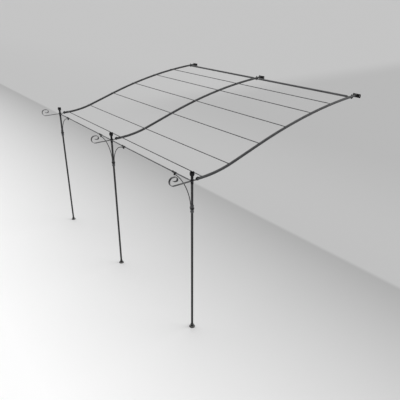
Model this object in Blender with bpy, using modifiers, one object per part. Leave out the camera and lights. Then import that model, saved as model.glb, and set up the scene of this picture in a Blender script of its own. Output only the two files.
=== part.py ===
"""Lean-to pergola of powder-coated steel tube, four metres wide, for a wall.

Metres, +Z up. The origin is under the middle post's foot. +X runs along the wall, +Y to the wall.
"""

import math

import bmesh
import bpy
from mathutils import Matrix, Vector

# Clearances
GAP = 0.0003
BOLT_PLAY = 0.0003

# Mesh tolerances, and how far a cutter runs past a face
WELD = 1e-6
AXIS_WELD = 1e-5
NO_TURN = 1e-9
OVERCUT = 0.010
SMOOTH_UP_TO = 40.0

# Layout
BAY = 2.000
WALL_DISTANCE = 3.100
ROUND_STEPS = 16
BAR_SIDES = 12

# Flattened ends: how square their section is, and the share of their width clipped at each corner
SLAB_SQUARENESS = 1.45
TAB_CLIP = 0.22

# Posts and feet
POST_D = 0.030
POST_WALL = 0.002
POST_LENGTH = 2.115
FOOT_D = 0.080
FOOT_RIM = 0.003
FOOT_DOME = 0.012
FOOT_FLOOR = 0.004
FOOT_SOCKET_D = 0.042
FOOT_HEIGHT = 0.045
FOOT_EDGE = 0.002
FOOT_HOLE_D = 0.0065
FOOT_HOLES = 3
FOOT_HOLE_START = 30.0

# Collars, which carry the braces' lower ends
COLLAR_D = 0.053
COLLAR_RING_D = 0.046
COLLAR_BODY_D = 0.041
COLLAR_BEAD = 0.020
COLLAR_SMALL_BEAD = 0.012
COLLAR_SMALL_RISE = 0.035
COLLAR_BELL_FROM = 0.023
COLLAR_BELL_WIDE = 0.039
COLLAR_BELL_LIP = 0.007
COLLAR_ABOVE = 0.047
COLLAR_BELOW = 0.057

# Post heads
HEAD_D = 0.035
HEAD_HEIGHT = 0.032
HEAD_CHAMFER = 0.002
HEAD_TAPER = 0.006
PLUG_LENGTH = 0.035
STUD_D = 0.010
STUD_IN_FINIAL = 0.022

# Front beams
BEAM_D = 0.017
BEAM_WALL = 0.0012
BEAM_TAB = 0.003
BEAM_TAB_WIDTH = 0.024
BEAM_TAB_REACH = 0.045
BEAM_TAB_END = 0.016
BEAM_NECK = 0.032

# Scroll straps
STRAP_T = 0.005
STRAP_WIDTH = 0.030
TONGUE_WIDTH = 0.022
TONGUE_LENGTH = 0.031
TONGUE_BOLT = 0.019
SHOULDER_GAP = 0.003
SCROLL_REACH = 0.262
SCROLL_OUTER_R = 0.058
SCROLL_TOP_R = 0.049
SCROLL_FLAT = 0.026
SCROLL_INNER_R = 0.037
SCROLL_EYE_R = 0.020
SCROLL_EYE_FLAT = 0.012
SCROLL_END_R = 0.045
SCROLL_END_TURN = 35.0
SCROLL_STEP = 18.1

# Finials
FINIAL_FLANGE_D = 0.043
FINIAL_FLANGE_H = 0.013
FINIAL_FLARE_H = 0.012
FINIAL_STEM_D = 0.029
FINIAL_STEM_H = 0.031
FINIAL_BEAD_D = 0.036
FINIAL_BEAD_H = 0.014
FINIAL_NECK_D = 0.028
FINIAL_CUP_D = 0.058
FINIAL_CUP_H = 0.072
FINIAL_CUP_WALL = 0.004
FINIAL_CUP_FLOOR = 0.012
FINIAL_CUP_SHAPE = ((0.87, 1.0), (0.95, 0.80), (1.0, 0.60), (0.98, 0.43), (0.84, 0.26), (0.53, 0.09))
PETAL_DEPTH = 0.014
PETAL_REACH = 0.89
SCOOP_SIDES = 16

# Rafters
RAFTER_D = 0.035
RAFTER_WALL = 0.0015
RAFTER_SIDES = 12
RAFTER_FRONT = 0.064
FRONT_BEND_R = 1.720
PITCH = 18.18
SLOPE_LENGTH = 0.476
WALL_AXIS_Z = 2.7855
RAFTER_STOP = 0.070
TAIL_LENGTH = 0.110
RAFTER_STEP = 3.7
RAFTER_LEAST_RUN = 0.080
REAR_BEND_MOST = 80.0
REAR_BEND_TRIES = 50

# Purlins
PURLIN_D = 0.012
PURLIN_SIDES = 8
PURLIN_TAB = 0.0025
PURLIN_TAB_WIDTH = 0.018
PURLIN_TAB_REACH = 0.026
PURLIN_TAB_END = 0.010
PURLIN_NECK = 0.018
PURLIN_FIRST = 0.072
PURLIN_LAST = 0.578
PURLIN_GAPS = (0.435, 0.534, 0.493, 0.511, 0.422)
SCREW_D = 0.004
SCREW_FLATS = 0.008
SCREW_HEAD_H = 0.003
SCREW_LENGTH = 0.009

# Braces and the clamps that hold them to the beams
BRACE_D = 0.011
BRACE_R = 0.327
BRACE_TAB = 0.004
BRACE_TAB_WIDTH = 0.014
BRACE_TAB_END = 0.014
BRACE_NECK = 0.024
BRACE_TOP_TAB_WIDTH = 0.013
BRACE_TAB_CLIP = 0.003
BRACE_LOW_TAB = 0.0252
BRACE_TOP_TAB = 0.028
BRACE_TOP_RUN = 0.021
BRACE_STEPS = 5
BRACE_SIDES = 8
CLAMP_WIDTH = 0.022
CLAMP_T = 0.0025
CLAMP_EAR_END = 0.014
CLAMP_STEPS = 10
CLAMP_BOLT_DROP = 0.025
CLAMP_BOLT_D = 0.006
CLAMP_BOLT_FLATS = 0.010
CLAMP_BOLT_HEAD = 0.0045
CLAMP_BOLT_SUNK = 0.0005

# Back rails
RAIL_D = 0.032
RAIL_WALL = 0.0015
RAIL_TAB = 0.004
RAIL_TAB_WIDTH = 0.046
RAIL_TAB_REACH = 0.046
RAIL_TAB_END = 0.022
RAIL_NECK = 0.040
RAIL_FROM_END = 0.060

# Wall brackets
PLATE_WIDTH = 0.134
PLATE_HEIGHT = 0.056
PLATE_T = 0.005
PLATE_DROP = 0.012
PLATE_CORNER = 0.006
PLATE_HOLE_D = 0.0085
PLATE_HOLE_INSET = 0.018
SPIGOT_WALL = 0.003
SPIGOT_INSIDE = 0.085
SPIGOT_FLOOR = 0.0075

# Bolts of the braces and the rafters' front ends, and the larger ones at the wall
BOLT_D = 0.008
BOLT_FLATS = 0.013
BOLT_HEAD = 0.004
BOLT_DOME = 0.002
BRACE_BOLT_HEAD = 0.008
BRACE_BOLT_DOME = 0.008
WASHER_D = 0.017
WASHER_T = 0.0016
BOLT_IN_POST = 0.004
BOLT_CROWN_D = 0.005
WALL_BOLT_D = 0.010
WALL_BOLT_FLATS = 0.017
WALL_BOLT_HEAD = 0.008
WALL_BOLT_DOME = 0.007
WALL_WASHER_D = 0.021
WALL_BOLT_CROWN_D = 0.007

# Finishes: colour, roughness and metallic value
GRAPHITE = (0.020, 0.021, 0.024)
BLACK = (0.008, 0.008, 0.009)
GREY = (0.085, 0.087, 0.092)
FINISHES = {
    "post": (GRAPHITE, 0.45, 0.0),
    "foot": (GREY, 0.50, 0.0),
    "collar": (BLACK, 0.40, 0.0),
    "post_head": (BLACK, 0.40, 0.0),
    "finial": (BLACK, 0.40, 0.0),
    "scroll": (GRAPHITE, 0.45, 0.0),
    "brace": (GRAPHITE, 0.45, 0.0),
    "beam_clamp": (BLACK, 0.45, 0.2),
    "front_beam": (GREY, 0.50, 0.0),
    "rafter": (GRAPHITE, 0.45, 0.0),
    "back_rail": (GREY, 0.45, 0.0),
    "wall_bracket": (BLACK, 0.50, 0.0),
    "purlin": (GREY, 0.50, 0.0),
    "bolt": (BLACK, 0.35, 0.6),
}

SIDES = (("left", -1), ("middle", 0), ("right", 1))
BAYS = (("left", -1), ("right", 1))
BRACES = (("left", -1, 1), ("middle_left", 0, -1), ("middle_right", 0, 1), ("right", 1, -1))


# Scene and objects


def clear_scene():
    for obj in list(bpy.data.objects):
        bpy.data.objects.remove(obj, do_unlink=True)
    for group in list(bpy.data.collections):
        bpy.data.collections.remove(group)


def new_collection(name):
    group = bpy.data.collections.new(name)
    bpy.context.scene.collection.children.link(group)
    return group


def finish_of(kind):
    name = kind + "_finish"
    found = bpy.data.materials.get(name)
    if found:
        return found
    colour, roughness, metallic = FINISHES[kind]
    made = bpy.data.materials.new(name)
    made.use_nodes = True
    shader = made.node_tree.nodes["Principled BSDF"]
    shader.inputs["Base Color"].default_value = (*colour, 1.0)
    shader.inputs["Roughness"].default_value = roughness
    shader.inputs["Metallic"].default_value = metallic
    made.diffuse_color = (*colour, 1.0)
    return made


def place(name, kind, mesh, location=(0.0, 0.0, 0.0), rotation=(0.0, 0.0, 0.0)):
    obj = bpy.data.objects.new(name, mesh)
    obj.location = location
    obj.rotation_euler = rotation
    if not mesh.materials:
        mesh.materials.append(finish_of(kind))
    bpy.data.collections["lean_to_pergola"].objects.link(obj)
    return obj


def helper(data):
    obj = bpy.data.objects.new("helper", data)
    obj.hide_render = True
    obj.display_type = "WIRE"
    bpy.data.collections["helpers"].objects.link(obj)
    return obj


def baked(obj):
    """The helper's evaluated shape as a welded mesh with its corners kept sharp; the helper goes."""
    bpy.context.view_layer.update()
    graph = bpy.context.evaluated_depsgraph_get()
    mesh = bpy.data.meshes.new_from_object(obj.evaluated_get(graph))
    mesh.transform(obj.matrix_world)
    bpy.data.objects.remove(obj)
    return cleaned(mesh)


def cleaned(mesh):
    bm = bmesh.new()
    bm.from_mesh(mesh)
    bmesh.ops.remove_doubles(bm, verts=bm.verts, dist=WELD)
    bmesh.ops.recalc_face_normals(bm, faces=bm.faces)
    bm.to_mesh(mesh)
    bm.free()
    mesh.shade_smooth()
    mesh.set_sharp_from_angle(angle=math.radians(SMOOTH_UP_TO))
    return mesh


# Shapes


def turned(profile, steps=ROUND_STEPS):
    """A profile of (radius, z), down its outer side, turned about Z."""
    mesh = bpy.data.meshes.new("turned")
    closed = profile[0][0] > 0 and profile[-1][0] > 0
    edges = [(i, i + 1) for i in range(len(profile) - 1)]
    if closed:
        edges.append((len(profile) - 1, 0))
    mesh.from_pydata([(r, 0.0, z) for r, z in profile], edges, [])
    obj = helper(mesh)
    screw = obj.modifiers.new("turn", "SCREW")
    screw.steps = screw.render_steps = steps
    screw.use_merge_vertices = True
    screw.merge_threshold = AXIS_WELD
    return baked(obj)


def bead(radius, bulge, low, high, points=2):
    """Points down a half-round bead from z high to low that swells from radius to radius + bulge."""
    turns = [math.pi * i / (points + 1) for i in range(points + 2)]
    peak = max(math.sin(turn) for turn in turns)
    middle, half = (high + low) / 2, (high - low) / 2
    return [(radius + bulge * math.sin(t) / peak, middle + half * math.cos(t)) for t in turns]


def tube(points, radius, sides, wall=None):
    """A round tube through the points, hollow with open ends if it has a wall."""
    curve = bpy.data.curves.new("tube", "CURVE")
    curve.dimensions = "3D"
    curve.bevel_depth = radius
    curve.bevel_resolution = (sides - 4) // 2
    curve.use_fill_caps = wall is None
    spline = curve.splines.new("POLY")
    spline.points.add(len(points) - 1)
    for point, co in zip(spline.points, points):
        point.co = (*co, 1.0)
    mesh = baked(helper(curve))
    if wall is None:
        return mesh
    obj = helper(mesh)
    shell = obj.modifiers.new("wall", "SOLIDIFY")
    shell.thickness = wall
    shell.offset = -1
    shell.use_even_offset = True
    return baked(obj)


def plate(outline, thickness):
    """A flat outline in X and Y, extruded evenly to both sides of it."""
    curve = bpy.data.curves.new("plate", "CURVE")
    curve.dimensions = "2D"
    curve.fill_mode = "BOTH"
    curve.extrude = thickness / 2
    spline = curve.splines.new("POLY")
    spline.points.add(len(outline) - 1)
    for point, co in zip(spline.points, outline):
        point.co = (co[0], co[1], 0.0, 1.0)
    spline.use_cyclic_u = True
    return baked(helper(curve))


def rod(radius, start, end, sides=12):
    """A plain round bar from start to end, turned a quarter facet off the axes."""
    start, end = Vector(start), Vector(end)
    turn = (end - start).to_track_quat("Z", "Y").to_matrix().to_4x4()
    turn = turn @ Matrix.Rotation(math.pi / 2 / sides, 4, "Z")
    bm = bmesh.new()
    bmesh.ops.create_cone(
        bm,
        cap_ends=True,
        segments=sides,
        radius1=radius,
        radius2=radius,
        depth=(end - start).length,
        matrix=Matrix.Translation((start + end) / 2) @ turn,
    )
    mesh = bpy.data.meshes.new("rod")
    bm.to_mesh(mesh)
    bm.free()
    return mesh


def hole(diameter, start, end, sides=8):
    """A cutter whose flats clear a bolt of this diameter."""
    return rod((diameter / 2 + BOLT_PLAY) / math.cos(math.pi / sides), start, end, sides)


def block(low, high):
    low, high = Vector(low), Vector(high)
    bm = bmesh.new()
    size = Matrix.Diagonal((*(high - low), 1.0))
    bmesh.ops.create_cube(bm, size=1.0, matrix=Matrix.Translation((low + high) / 2) @ size)
    mesh = bpy.data.meshes.new("block")
    bm.to_mesh(mesh)
    bm.free()
    return mesh


def lofted(rings, inner=()):
    """A closed skin over rings with equally many points, open right through with inner rings."""
    count = len(rings[0])
    bm = bmesh.new()
    made = [[bm.verts.new(point) for point in ring] for ring in (*rings, *reversed(inner))]
    if inner:
        made.append(made[0])
    for lower, upper in zip(made, made[1:]):
        for i in range(count):
            j = (i + 1) % count
            bm.faces.new((lower[i], lower[j], upper[j], upper[i]))
    if not inner:
        bm.faces.new(list(reversed(made[0])))
        bm.faces.new(made[-1])
    mesh = bpy.data.meshes.new("lofted")
    bm.to_mesh(mesh)
    bm.free()
    return cleaned(mesh)


def worked(mesh, others, operation):
    obj = helper(mesh)
    used = [helper(other) for other in others]
    for other in used:
        step = obj.modifiers.new("step", "BOOLEAN")
        step.operation = operation
        step.solver = "EXACT"
        step.object = other
    made = baked(obj)
    for other in used:
        bpy.data.objects.remove(other)
    return made


def cut(mesh, *cutters):
    return worked(mesh, cutters, "DIFFERENCE")


def fused(mesh, *others):
    return worked(mesh, others, "UNION")


# Sections of round stock and of its flattened ends


def section(centre, across, along, round_d=None, flat=None, sides=BAR_SIDES):
    """A ring about a centre: round stock, or a flat slab of flat[0] across by flat[1] along."""
    made = []
    for i in range(sides):
        turn = 2 * math.pi * (i + 0.5) / sides
        u, v = math.cos(turn), math.sin(turn)
        if flat:
            u, v = (max(-1.0, min(1.0, SLAB_SQUARENESS * w)) for w in (u, v))
            a, b = u * flat[0] / 2, v * flat[1] / 2
        else:
            a, b = u * round_d / 2, v * round_d / 2
        made.append(Vector(centre) + Vector(across) * a + Vector(along) * b)
    return made


def flat_ended_bar(stock, left_z, right_z, sides=BAR_SIDES, wall=0.0):
    """Round stock along X over one bay, with a flattened end at each fixing place.

    The fixing places are X = 0 and X = BAY, and each tab's middle has its own height. A tab runs from
    `end` beyond its fixing place to `reach` inside it. In the neck the stock becomes round. With a wall
    it is a tube, which is pressed to a slit at its ends.
    """
    rings = bar_rings(stock, left_z, right_z, sides, 0.0)
    inner = bar_rings(stock, left_z, right_z, sides, wall) if wall else ()
    return lofted(rings, inner)


def bar_rings(stock, left_z, right_z, sides, inset):
    """The rings of a flat-ended bar's skin, or of its bore where they are inset."""
    round_d, tab, width, reach, end, neck = stock
    clip, less = TAB_CLIP * width, 2 * inset
    slab = dict(flat=(width - less, tab - less))
    nose = dict(flat=(width - 2 * clip - less, tab - less))
    bar = dict(round_d=round_d - less)
    places = [
        (-end, left_z, nose),
        (-end + clip, left_z, slab),
        (reach, left_z, slab),
        (reach + neck, 0, bar),
        (BAY - reach - neck, 0, bar),
        (BAY - reach, right_z, slab),
        (BAY + end - clip, right_z, slab),
        (BAY + end, right_z, nose),
    ]
    return [section((x, 0, z), (0, 1, 0), (0, 0, 1), sides=sides, **kind) for x, z, kind in places]


# Paths in a plane, as runs of straight or bent stock


def bend(radius, degrees):
    turn = math.radians(degrees)
    return radius * abs(turn), turn


def straight(length):
    return length, 0.0


def advance(place_, heading, length, turn):
    """Where a run of this length and turn ends, and its heading there."""
    chord = length if abs(turn) < NO_TURN else length * math.sin(turn / 2) / (turn / 2)
    middle = heading + turn / 2
    end = (place_[0] + chord * math.cos(middle), place_[1] + chord * math.sin(middle))
    return end, heading + turn


def state_at(start, heading, runs, distance):
    """The place and heading at a distance along the runs."""
    here = start
    for length, turn in runs:
        if distance <= length:
            part = distance / length
            return advance(here, heading, distance, turn * part)
        here, heading = advance(here, heading, length, turn)
        distance -= length
    return advance(here, heading, distance, 0.0)


def stations(runs, most_turn):
    """Distances along the runs: their ends, and steps of at most this turn inside the bends."""
    made = [0.0]
    for length, turn in runs:
        steps = max(1, math.ceil(abs(math.degrees(turn)) / most_turn))
        first = made[-1]
        made += [first + length * (i + 1) / steps for i in range(steps)]
    return made


# Heights that follow from the posts' stack


def post_top():
    return FOOT_FLOOR + GAP + POST_LENGTH


def lower_tab_z():
    return post_top() + GAP + HEAD_HEIGHT + GAP + BEAM_TAB / 2


def upper_tab_z():
    return lower_tab_z() + BEAM_TAB + GAP


def beam_axis_z():
    return (lower_tab_z() + upper_tab_z()) / 2


def clamp_bolt_z():
    return beam_axis_z() - CLAMP_BOLT_DROP


def collar_z():
    """The collar's large ring stands one brace radius below the clamps' bolts."""
    return clamp_bolt_z() - BRACE_R


def strap_z():
    return upper_tab_z() + BEAM_TAB / 2 + GAP + STRAP_T / 2


def rafter_bore():
    """The radius that is free all round inside the faceted tube."""
    return RAFTER_D / 2 * math.cos(math.pi / RAFTER_SIDES) - RAFTER_WALL


def rafter_axis_z():
    """The tube stands so that the strap's tongue lies on the bottom of its bore."""
    return strap_z() - STRAP_T / 2 + math.sqrt(rafter_bore() ** 2 - (TONGUE_WIDTH / 2) ** 2) - GAP


# The rafter's path from its front end, in Y and Z


def rafter_end():
    return WALL_DISTANCE - RAFTER_STOP, WALL_AXIS_Z


def rear_bend():
    """The turn and length of the rear bend that bring the tail to the rafter's wall end."""
    start = (RAFTER_FRONT, rafter_axis_z())
    begin, pitch = state_at(start, 0.0, front_runs(), sum(length for length, _ in front_runs()))
    end = rafter_end()
    most = math.radians(REAR_BEND_MOST)
    low, high = pitch - most, pitch + most
    for _ in range(REAR_BEND_TRIES):
        tail = (low + high) / 2
        reach = (
            end[0] - TAIL_LENGTH * math.cos(tail) - begin[0],
            end[1] - TAIL_LENGTH * math.sin(tail) - begin[1],
        )
        middle = (pitch + tail) / 2
        if reach[0] * math.sin(middle) - reach[1] * math.cos(middle) > 0:
            high = tail
        else:
            low = tail
    turn = tail - pitch
    chord = math.hypot(*reach)
    length = chord if abs(turn) < NO_TURN else chord * (turn / 2) / math.sin(turn / 2)
    return length, turn


def front_runs():
    """The tube stays level over the tongue, then bends up to its slope."""
    return [straight(TONGUE_LENGTH), bend(FRONT_BEND_R, PITCH), straight(SLOPE_LENGTH)]


def rafter_runs():
    return front_runs() + [rear_bend(), straight(TAIL_LENGTH)]


def rafter_length():
    return sum(length for length, _ in rafter_runs())


def on_rafter(distance):
    """The rafter's (y, z) and slope at a distance from its front end."""
    return state_at((RAFTER_FRONT, rafter_axis_z()), 0.0, rafter_runs(), distance)


def wall_bolt_place():
    return rafter_length() - RAIL_FROM_END


def purlin_places():
    """Distances along the rafter, in the ratio of the gaps, from the first rod to the last."""
    span = rafter_length() - PURLIN_LAST - PURLIN_FIRST
    share = span / sum(PURLIN_GAPS)
    made = [PURLIN_FIRST]
    for gap in PURLIN_GAPS:
        made.append(made[-1] + gap * share)
    return made


# Pieces around the posts


def post_mesh(brace_sides):
    outer, inner = POST_D / 2, POST_D / 2 - POST_WALL
    low, high, z = FOOT_FLOOR + GAP, post_top(), collar_z()
    mesh = turned([(inner, high), (outer, high), (outer, low), (inner, low)])
    holes = [
        hole(BOLT_D, (side * inner / 2, 0, z), (side * POST_D, 0, z))
        for side in brace_sides
    ]
    return cut(mesh, *holes)


def foot_mesh():
    bore, socket, rim = POST_D / 2 + GAP, FOOT_SOCKET_D / 2, FOOT_D / 2
    dome = []
    for i in range(3):
        turn = math.pi / 2 * i / 2
        r = socket + (rim - socket) * math.sin(turn)
        dome.append((r, FOOT_RIM + (FOOT_DOME - FOOT_RIM) * math.cos(turn)))
    mesh = turned(
        [(0, FOOT_FLOOR), (bore, FOOT_FLOOR), (bore, FOOT_HEIGHT), (socket - FOOT_EDGE, FOOT_HEIGHT)]
        + [(socket, FOOT_HEIGHT - FOOT_EDGE)]
        + dome
        + [(rim, 0), (0, 0)]
    )
    ring = (socket + rim) / 2
    holes = []
    for i in range(FOOT_HOLES):
        turn = 2 * math.pi * i / FOOT_HOLES + math.radians(FOOT_HOLE_START)
        x, y = ring * math.cos(turn), ring * math.sin(turn)
        holes.append(rod(FOOT_HOLE_D / 2, (x, y, -OVERCUT), (x, y, FOOT_HEIGHT), sides=8))
    return cut(mesh, *holes)


def collar_mesh(brace_sides):
    """A turned sleeve with a small ring, the large ring that takes the bolts, and a bell."""
    bore, body = POST_D / 2 + GAP, COLLAR_BODY_D / 2
    ring, large = COLLAR_RING_D / 2 - body, COLLAR_D / 2 - body
    z = collar_z()
    top, bottom = z + COLLAR_ABOVE, z - COLLAR_BELOW
    upper = z + COLLAR_SMALL_RISE
    small, half = COLLAR_SMALL_BEAD / 2, COLLAR_BEAD / 2
    bell = z - COLLAR_BELL_WIDE
    profile = [(bore, top), (body, top)]
    profile += bead(body, ring, upper - small, upper + small)
    profile += bead(body, large, z - half, z + half)
    profile += [
        (body, z - COLLAR_BELL_FROM),
        (COLLAR_RING_D / 2, bell),
        (COLLAR_RING_D / 2, bell - COLLAR_BELL_LIP),
        (body, bottom),
        (bore, bottom),
    ]
    mesh = turned(profile)
    holes = [
        hole(BOLT_D, (side * bore / 2, 0, z), (side * COLLAR_D, 0, z))
        for side in brace_sides
    ]
    return cut(mesh, *holes)


def head_mesh(extra):
    """Plug, boss and stud; `extra` lifts the boss where only one beam ends on the post."""
    plug = POST_D / 2 - POST_WALL - GAP
    low, top = post_top() + GAP, post_top() + GAP + HEAD_HEIGHT + extra
    stud_top = strap_z() + STRAP_T / 2 + GAP + STUD_IN_FINIAL
    edge = HEAD_D / 2 - HEAD_CHAMFER
    return turned(
        [(0, stud_top), (STUD_D / 2, stud_top), (STUD_D / 2, top), (edge, top)]
        + [(HEAD_D / 2, top - HEAD_CHAMFER), (HEAD_D / 2, low + HEAD_TAPER)]
        + [(POST_D / 2, low), (plug, low), (plug, low - PLUG_LENGTH), (0, low - PLUG_LENGTH)]
    )


def finial_mesh():
    """A turned stem with a bead, and a tulip cup whose rim is scooped into four petals."""
    base = strap_z() + STRAP_T / 2 + GAP
    flange = base + FINIAL_FLANGE_H
    bead_low = base + FINIAL_STEM_H
    neck = bead_low + FINIAL_BEAD_H
    top = neck + FINIAL_CUP_H
    cup, stem = FINIAL_CUP_D / 2, FINIAL_STEM_D / 2
    bore, depth = STUD_D / 2 + GAP, base + STUD_IN_FINIAL + GAP
    outer = [(cup * share, neck + FINIAL_CUP_H * rise) for share, rise in FINIAL_CUP_SHAPE]
    inner = [(r - FINIAL_CUP_WALL, z) for r, z in outer[:-1]]
    profile = [(0, neck + FINIAL_CUP_FLOOR)]
    profile += [(r, z + FINIAL_CUP_WALL / 2) for r, z in reversed(inner[1:])]
    profile += [inner[0]] + outer
    profile += [(FINIAL_NECK_D / 2, neck)]
    profile += bead(stem, FINIAL_BEAD_D / 2 - stem, bead_low, bead_low + FINIAL_BEAD_H)[1:]
    profile += [(stem, flange + FINIAL_FLARE_H)]
    profile += [(FINIAL_FLANGE_D / 2, flange), (FINIAL_FLANGE_D / 2, base)]
    profile += [(bore, base), (bore, depth), (0, depth)]
    mesh = turned(profile)
    reach = PETAL_REACH * cup * math.sin(math.radians(45))
    scoop = (reach**2 + PETAL_DEPTH**2) / (2 * PETAL_DEPTH)
    height = top - PETAL_DEPTH + scoop
    cutters = []
    for turn in (math.radians(45), math.radians(135)):
        end = Vector((math.cos(turn), math.sin(turn), 0)) * (cup + OVERCUT)
        up = Vector((0, 0, height))
        cutters.append(rod(scoop, up - end, up + end, SCOOP_SIDES))
    return cut(mesh, *cutters)


# Front beams, scroll straps, braces and clamps


def beam_mesh(left_level, right_level):
    levels = {"lower": lower_tab_z() - beam_axis_z(), "upper": upper_tab_z() - beam_axis_z()}
    stock = (BEAM_D, BEAM_TAB, BEAM_TAB_WIDTH, BEAM_TAB_REACH, BEAM_TAB_END, BEAM_NECK)
    mesh = flat_ended_bar(stock, levels[left_level], levels[right_level], wall=BEAM_WALL)
    holes = [hole(STUD_D, (x, 0, -BEAM_D), (x, 0, BEAM_D)) for x in (0, BAY)]
    return cut(mesh, *holes)


def scroll_runs():
    return [
        straight(RAFTER_FRONT + TONGUE_LENGTH + SCROLL_REACH),
        bend(SCROLL_OUTER_R, -90),
        bend(SCROLL_TOP_R, -90),
        straight(SCROLL_FLAT),
        bend(SCROLL_INNER_R, -90),
        bend(SCROLL_EYE_R, -90),
        straight(SCROLL_EYE_FLAT),
        bend(SCROLL_END_R, -SCROLL_END_TURN),
    ]


def scroll_mesh():
    """Flat bar on edge view: a tongue for the rafter, a level run over the post and the curl."""
    runs = scroll_runs()
    start = (RAFTER_FRONT + TONGUE_LENGTH, strap_z())
    above, below = [], []
    for distance in stations(runs, SCROLL_STEP):
        (y, z), heading = state_at(start, math.pi, runs, distance)
        dy, dz = -math.sin(heading) * STRAP_T / 2, math.cos(heading) * STRAP_T / 2
        above.append((y + dy, z + dz))
        below.append((y - dy, z - dz))
    mesh = plate(above + list(reversed(below)), STRAP_WIDTH)
    mesh.transform(Matrix(((0, 0, 1, 0), (1, 0, 0, 0), (0, 1, 0, 0), (0, 0, 0, 1))))
    shoulder = RAFTER_FRONT - SHOULDER_GAP
    low, high = strap_z() - STRAP_T, strap_z() + STRAP_T
    sides = [
        block(
            (min(side * TONGUE_WIDTH / 2, side * STRAP_WIDTH), shoulder, low),
            (max(side * TONGUE_WIDTH / 2, side * STRAP_WIDTH), start[0] + STRAP_T, high),
        )
        for side in (-1, 1)
    ]
    bolt_y = RAFTER_FRONT + TONGUE_BOLT
    holes = [
        hole(STUD_D, (0, 0, low), (0, 0, high)),
        hole(BOLT_D, (0, bolt_y, low), (0, bolt_y, high)),
    ]
    return cut(mesh, *sides, *holes)


def brace_start():
    """Distance of the brace's flattened lower end from the post's axis."""
    return COLLAR_D / 2 + GAP + BRACE_TAB / 2


def clamp_distance():
    return brace_start() + BRACE_R + BRACE_TAB_END / 2


def brace_mesh():
    """A quarter bend from the collar to the clamp, flattened one way below and the other above."""
    runs = [straight(BRACE_TAB_END), bend(BRACE_R, -90), straight(BRACE_TOP_RUN)]
    start = (brace_start(), collar_z() - BRACE_TAB_END)
    length = sum(run for run, _ in runs)
    clip, wide, tall = BRACE_TAB_CLIP, BRACE_TAB_WIDTH, BRACE_TOP_TAB_WIDTH
    shapes = [
        (0.0, dict(flat=(BRACE_TAB, wide - 2 * clip))),
        (clip, dict(flat=(BRACE_TAB, wide))),
        (BRACE_LOW_TAB, dict(flat=(BRACE_TAB, wide))),
        (BRACE_LOW_TAB + BRACE_NECK, dict(round_d=BRACE_D)),
    ]
    first_round, last_round = shapes[-1][0], length - BRACE_TOP_TAB - BRACE_NECK
    for i in range(1, BRACE_STEPS + 1):
        distance = first_round + (last_round - first_round) * i / BRACE_STEPS
        shapes.append((distance, dict(round_d=BRACE_D)))
    shapes += [
        (length - BRACE_TOP_TAB, dict(flat=(tall, BRACE_TAB))),
        (length - clip, dict(flat=(tall, BRACE_TAB))),
        (length, dict(flat=(tall - 2 * clip, BRACE_TAB))),
    ]
    rings = []
    for distance, shape in shapes:
        (x, z), heading = state_at(start, math.pi / 2, runs, distance)
        across = (-math.sin(heading), 0, math.cos(heading))
        rings.append(section((x, 0, z), across, (0, 1, 0), sides=BRACE_SIDES, **shape))
    mesh = lofted(rings)
    lower = hole(BOLT_D, (0, 0, collar_z()), (2 * brace_start(), 0, collar_z()))
    x, z = clamp_distance(), clamp_bolt_z()
    upper = hole(CLAMP_BOLT_D, (x, -BRACE_D, z), (x, BRACE_D, z))
    return cut(mesh, lower, upper)


def clamp_mesh():
    """A band round the beam whose ears come together below it on the brace's flattened end."""
    inner = (BEAM_D / 2 + GAP) / math.cos(math.pi / CLAMP_STEPS)
    outer = inner + CLAMP_T
    near = BRACE_TAB / 2 + GAP
    far = near + CLAMP_T
    low = clamp_bolt_z() - CLAMP_EAR_END - beam_axis_z()
    outside, inside = [], []
    for made, radius, offset in ((outside, outer, far), (inside, inner, near)):
        first = math.asin(offset / radius)
        for i in range(CLAMP_STEPS + 1):
            turn = -math.pi / 2 - first - (2 * math.pi - 2 * first) * i / CLAMP_STEPS
            made.append((radius * math.cos(turn), radius * math.sin(turn)))
    outline = [(-far, low)] + outside + [(far, low), (near, low)]
    outline += list(reversed(inside)) + [(-near, low)]
    mesh = plate(outline, CLAMP_WIDTH)
    mesh.transform(Matrix(((0, 0, 1, 0), (1, 0, 0, 0), (0, 1, 0, 0), (0, 0, 0, 1))))
    spot = Matrix.Translation((0, 0, clamp_bolt_z() - beam_axis_z()))
    bolt = clamp_bolt_mesh(far)
    bolt.transform(spot @ Matrix.Rotation(math.radians(-90), 4, "X"))
    return fused(mesh, bolt)


def clamp_bolt_mesh(far):
    """The cross bolt with its head and nut, along Z, for ears whose outer faces lie at +-far."""
    seat, tip = far - CLAMP_BOLT_SUNK, far + CLAMP_BOLT_HEAD
    flats, shank = CLAMP_BOLT_FLATS / 2, CLAMP_BOLT_D / 2
    levels = [(-tip, flats, True), (-seat, flats, True), (-seat, shank, False)]
    levels += [(seat, shank, False), (seat, flats, True), (tip, flats, True)]
    return stack(levels, sides=6)


# Rafters, purlins, rails and brackets


def rafter_mesh():
    seats = [0.0, TONGUE_LENGTH, rafter_length()] + purlin_places()
    points = []
    for distance in sorted(seats + free_stations(seats)):
        (y, z), _ = on_rafter(distance)
        points.append((0, y, z))
    mesh = tube(points, RAFTER_D / 2, RAFTER_SIDES, RAFTER_WALL)
    holes = [
        rafter_hole(TONGUE_BOLT, BOLT_D, -1),
        rafter_hole(wall_bolt_place(), WALL_BOLT_D, -1),
    ]
    holes += [rafter_hole(place_, screw_corner_d(), 0) for place_ in purlin_places()]
    return cut(mesh, *holes)


def free_stations(seats):
    """The bends' stations that don't crowd a seat."""
    made = stations(rafter_runs(), RAFTER_STEP)
    return [d for d in made if all(abs(d - seat) > RAFTER_LEAST_RUN for seat in seats)]


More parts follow.
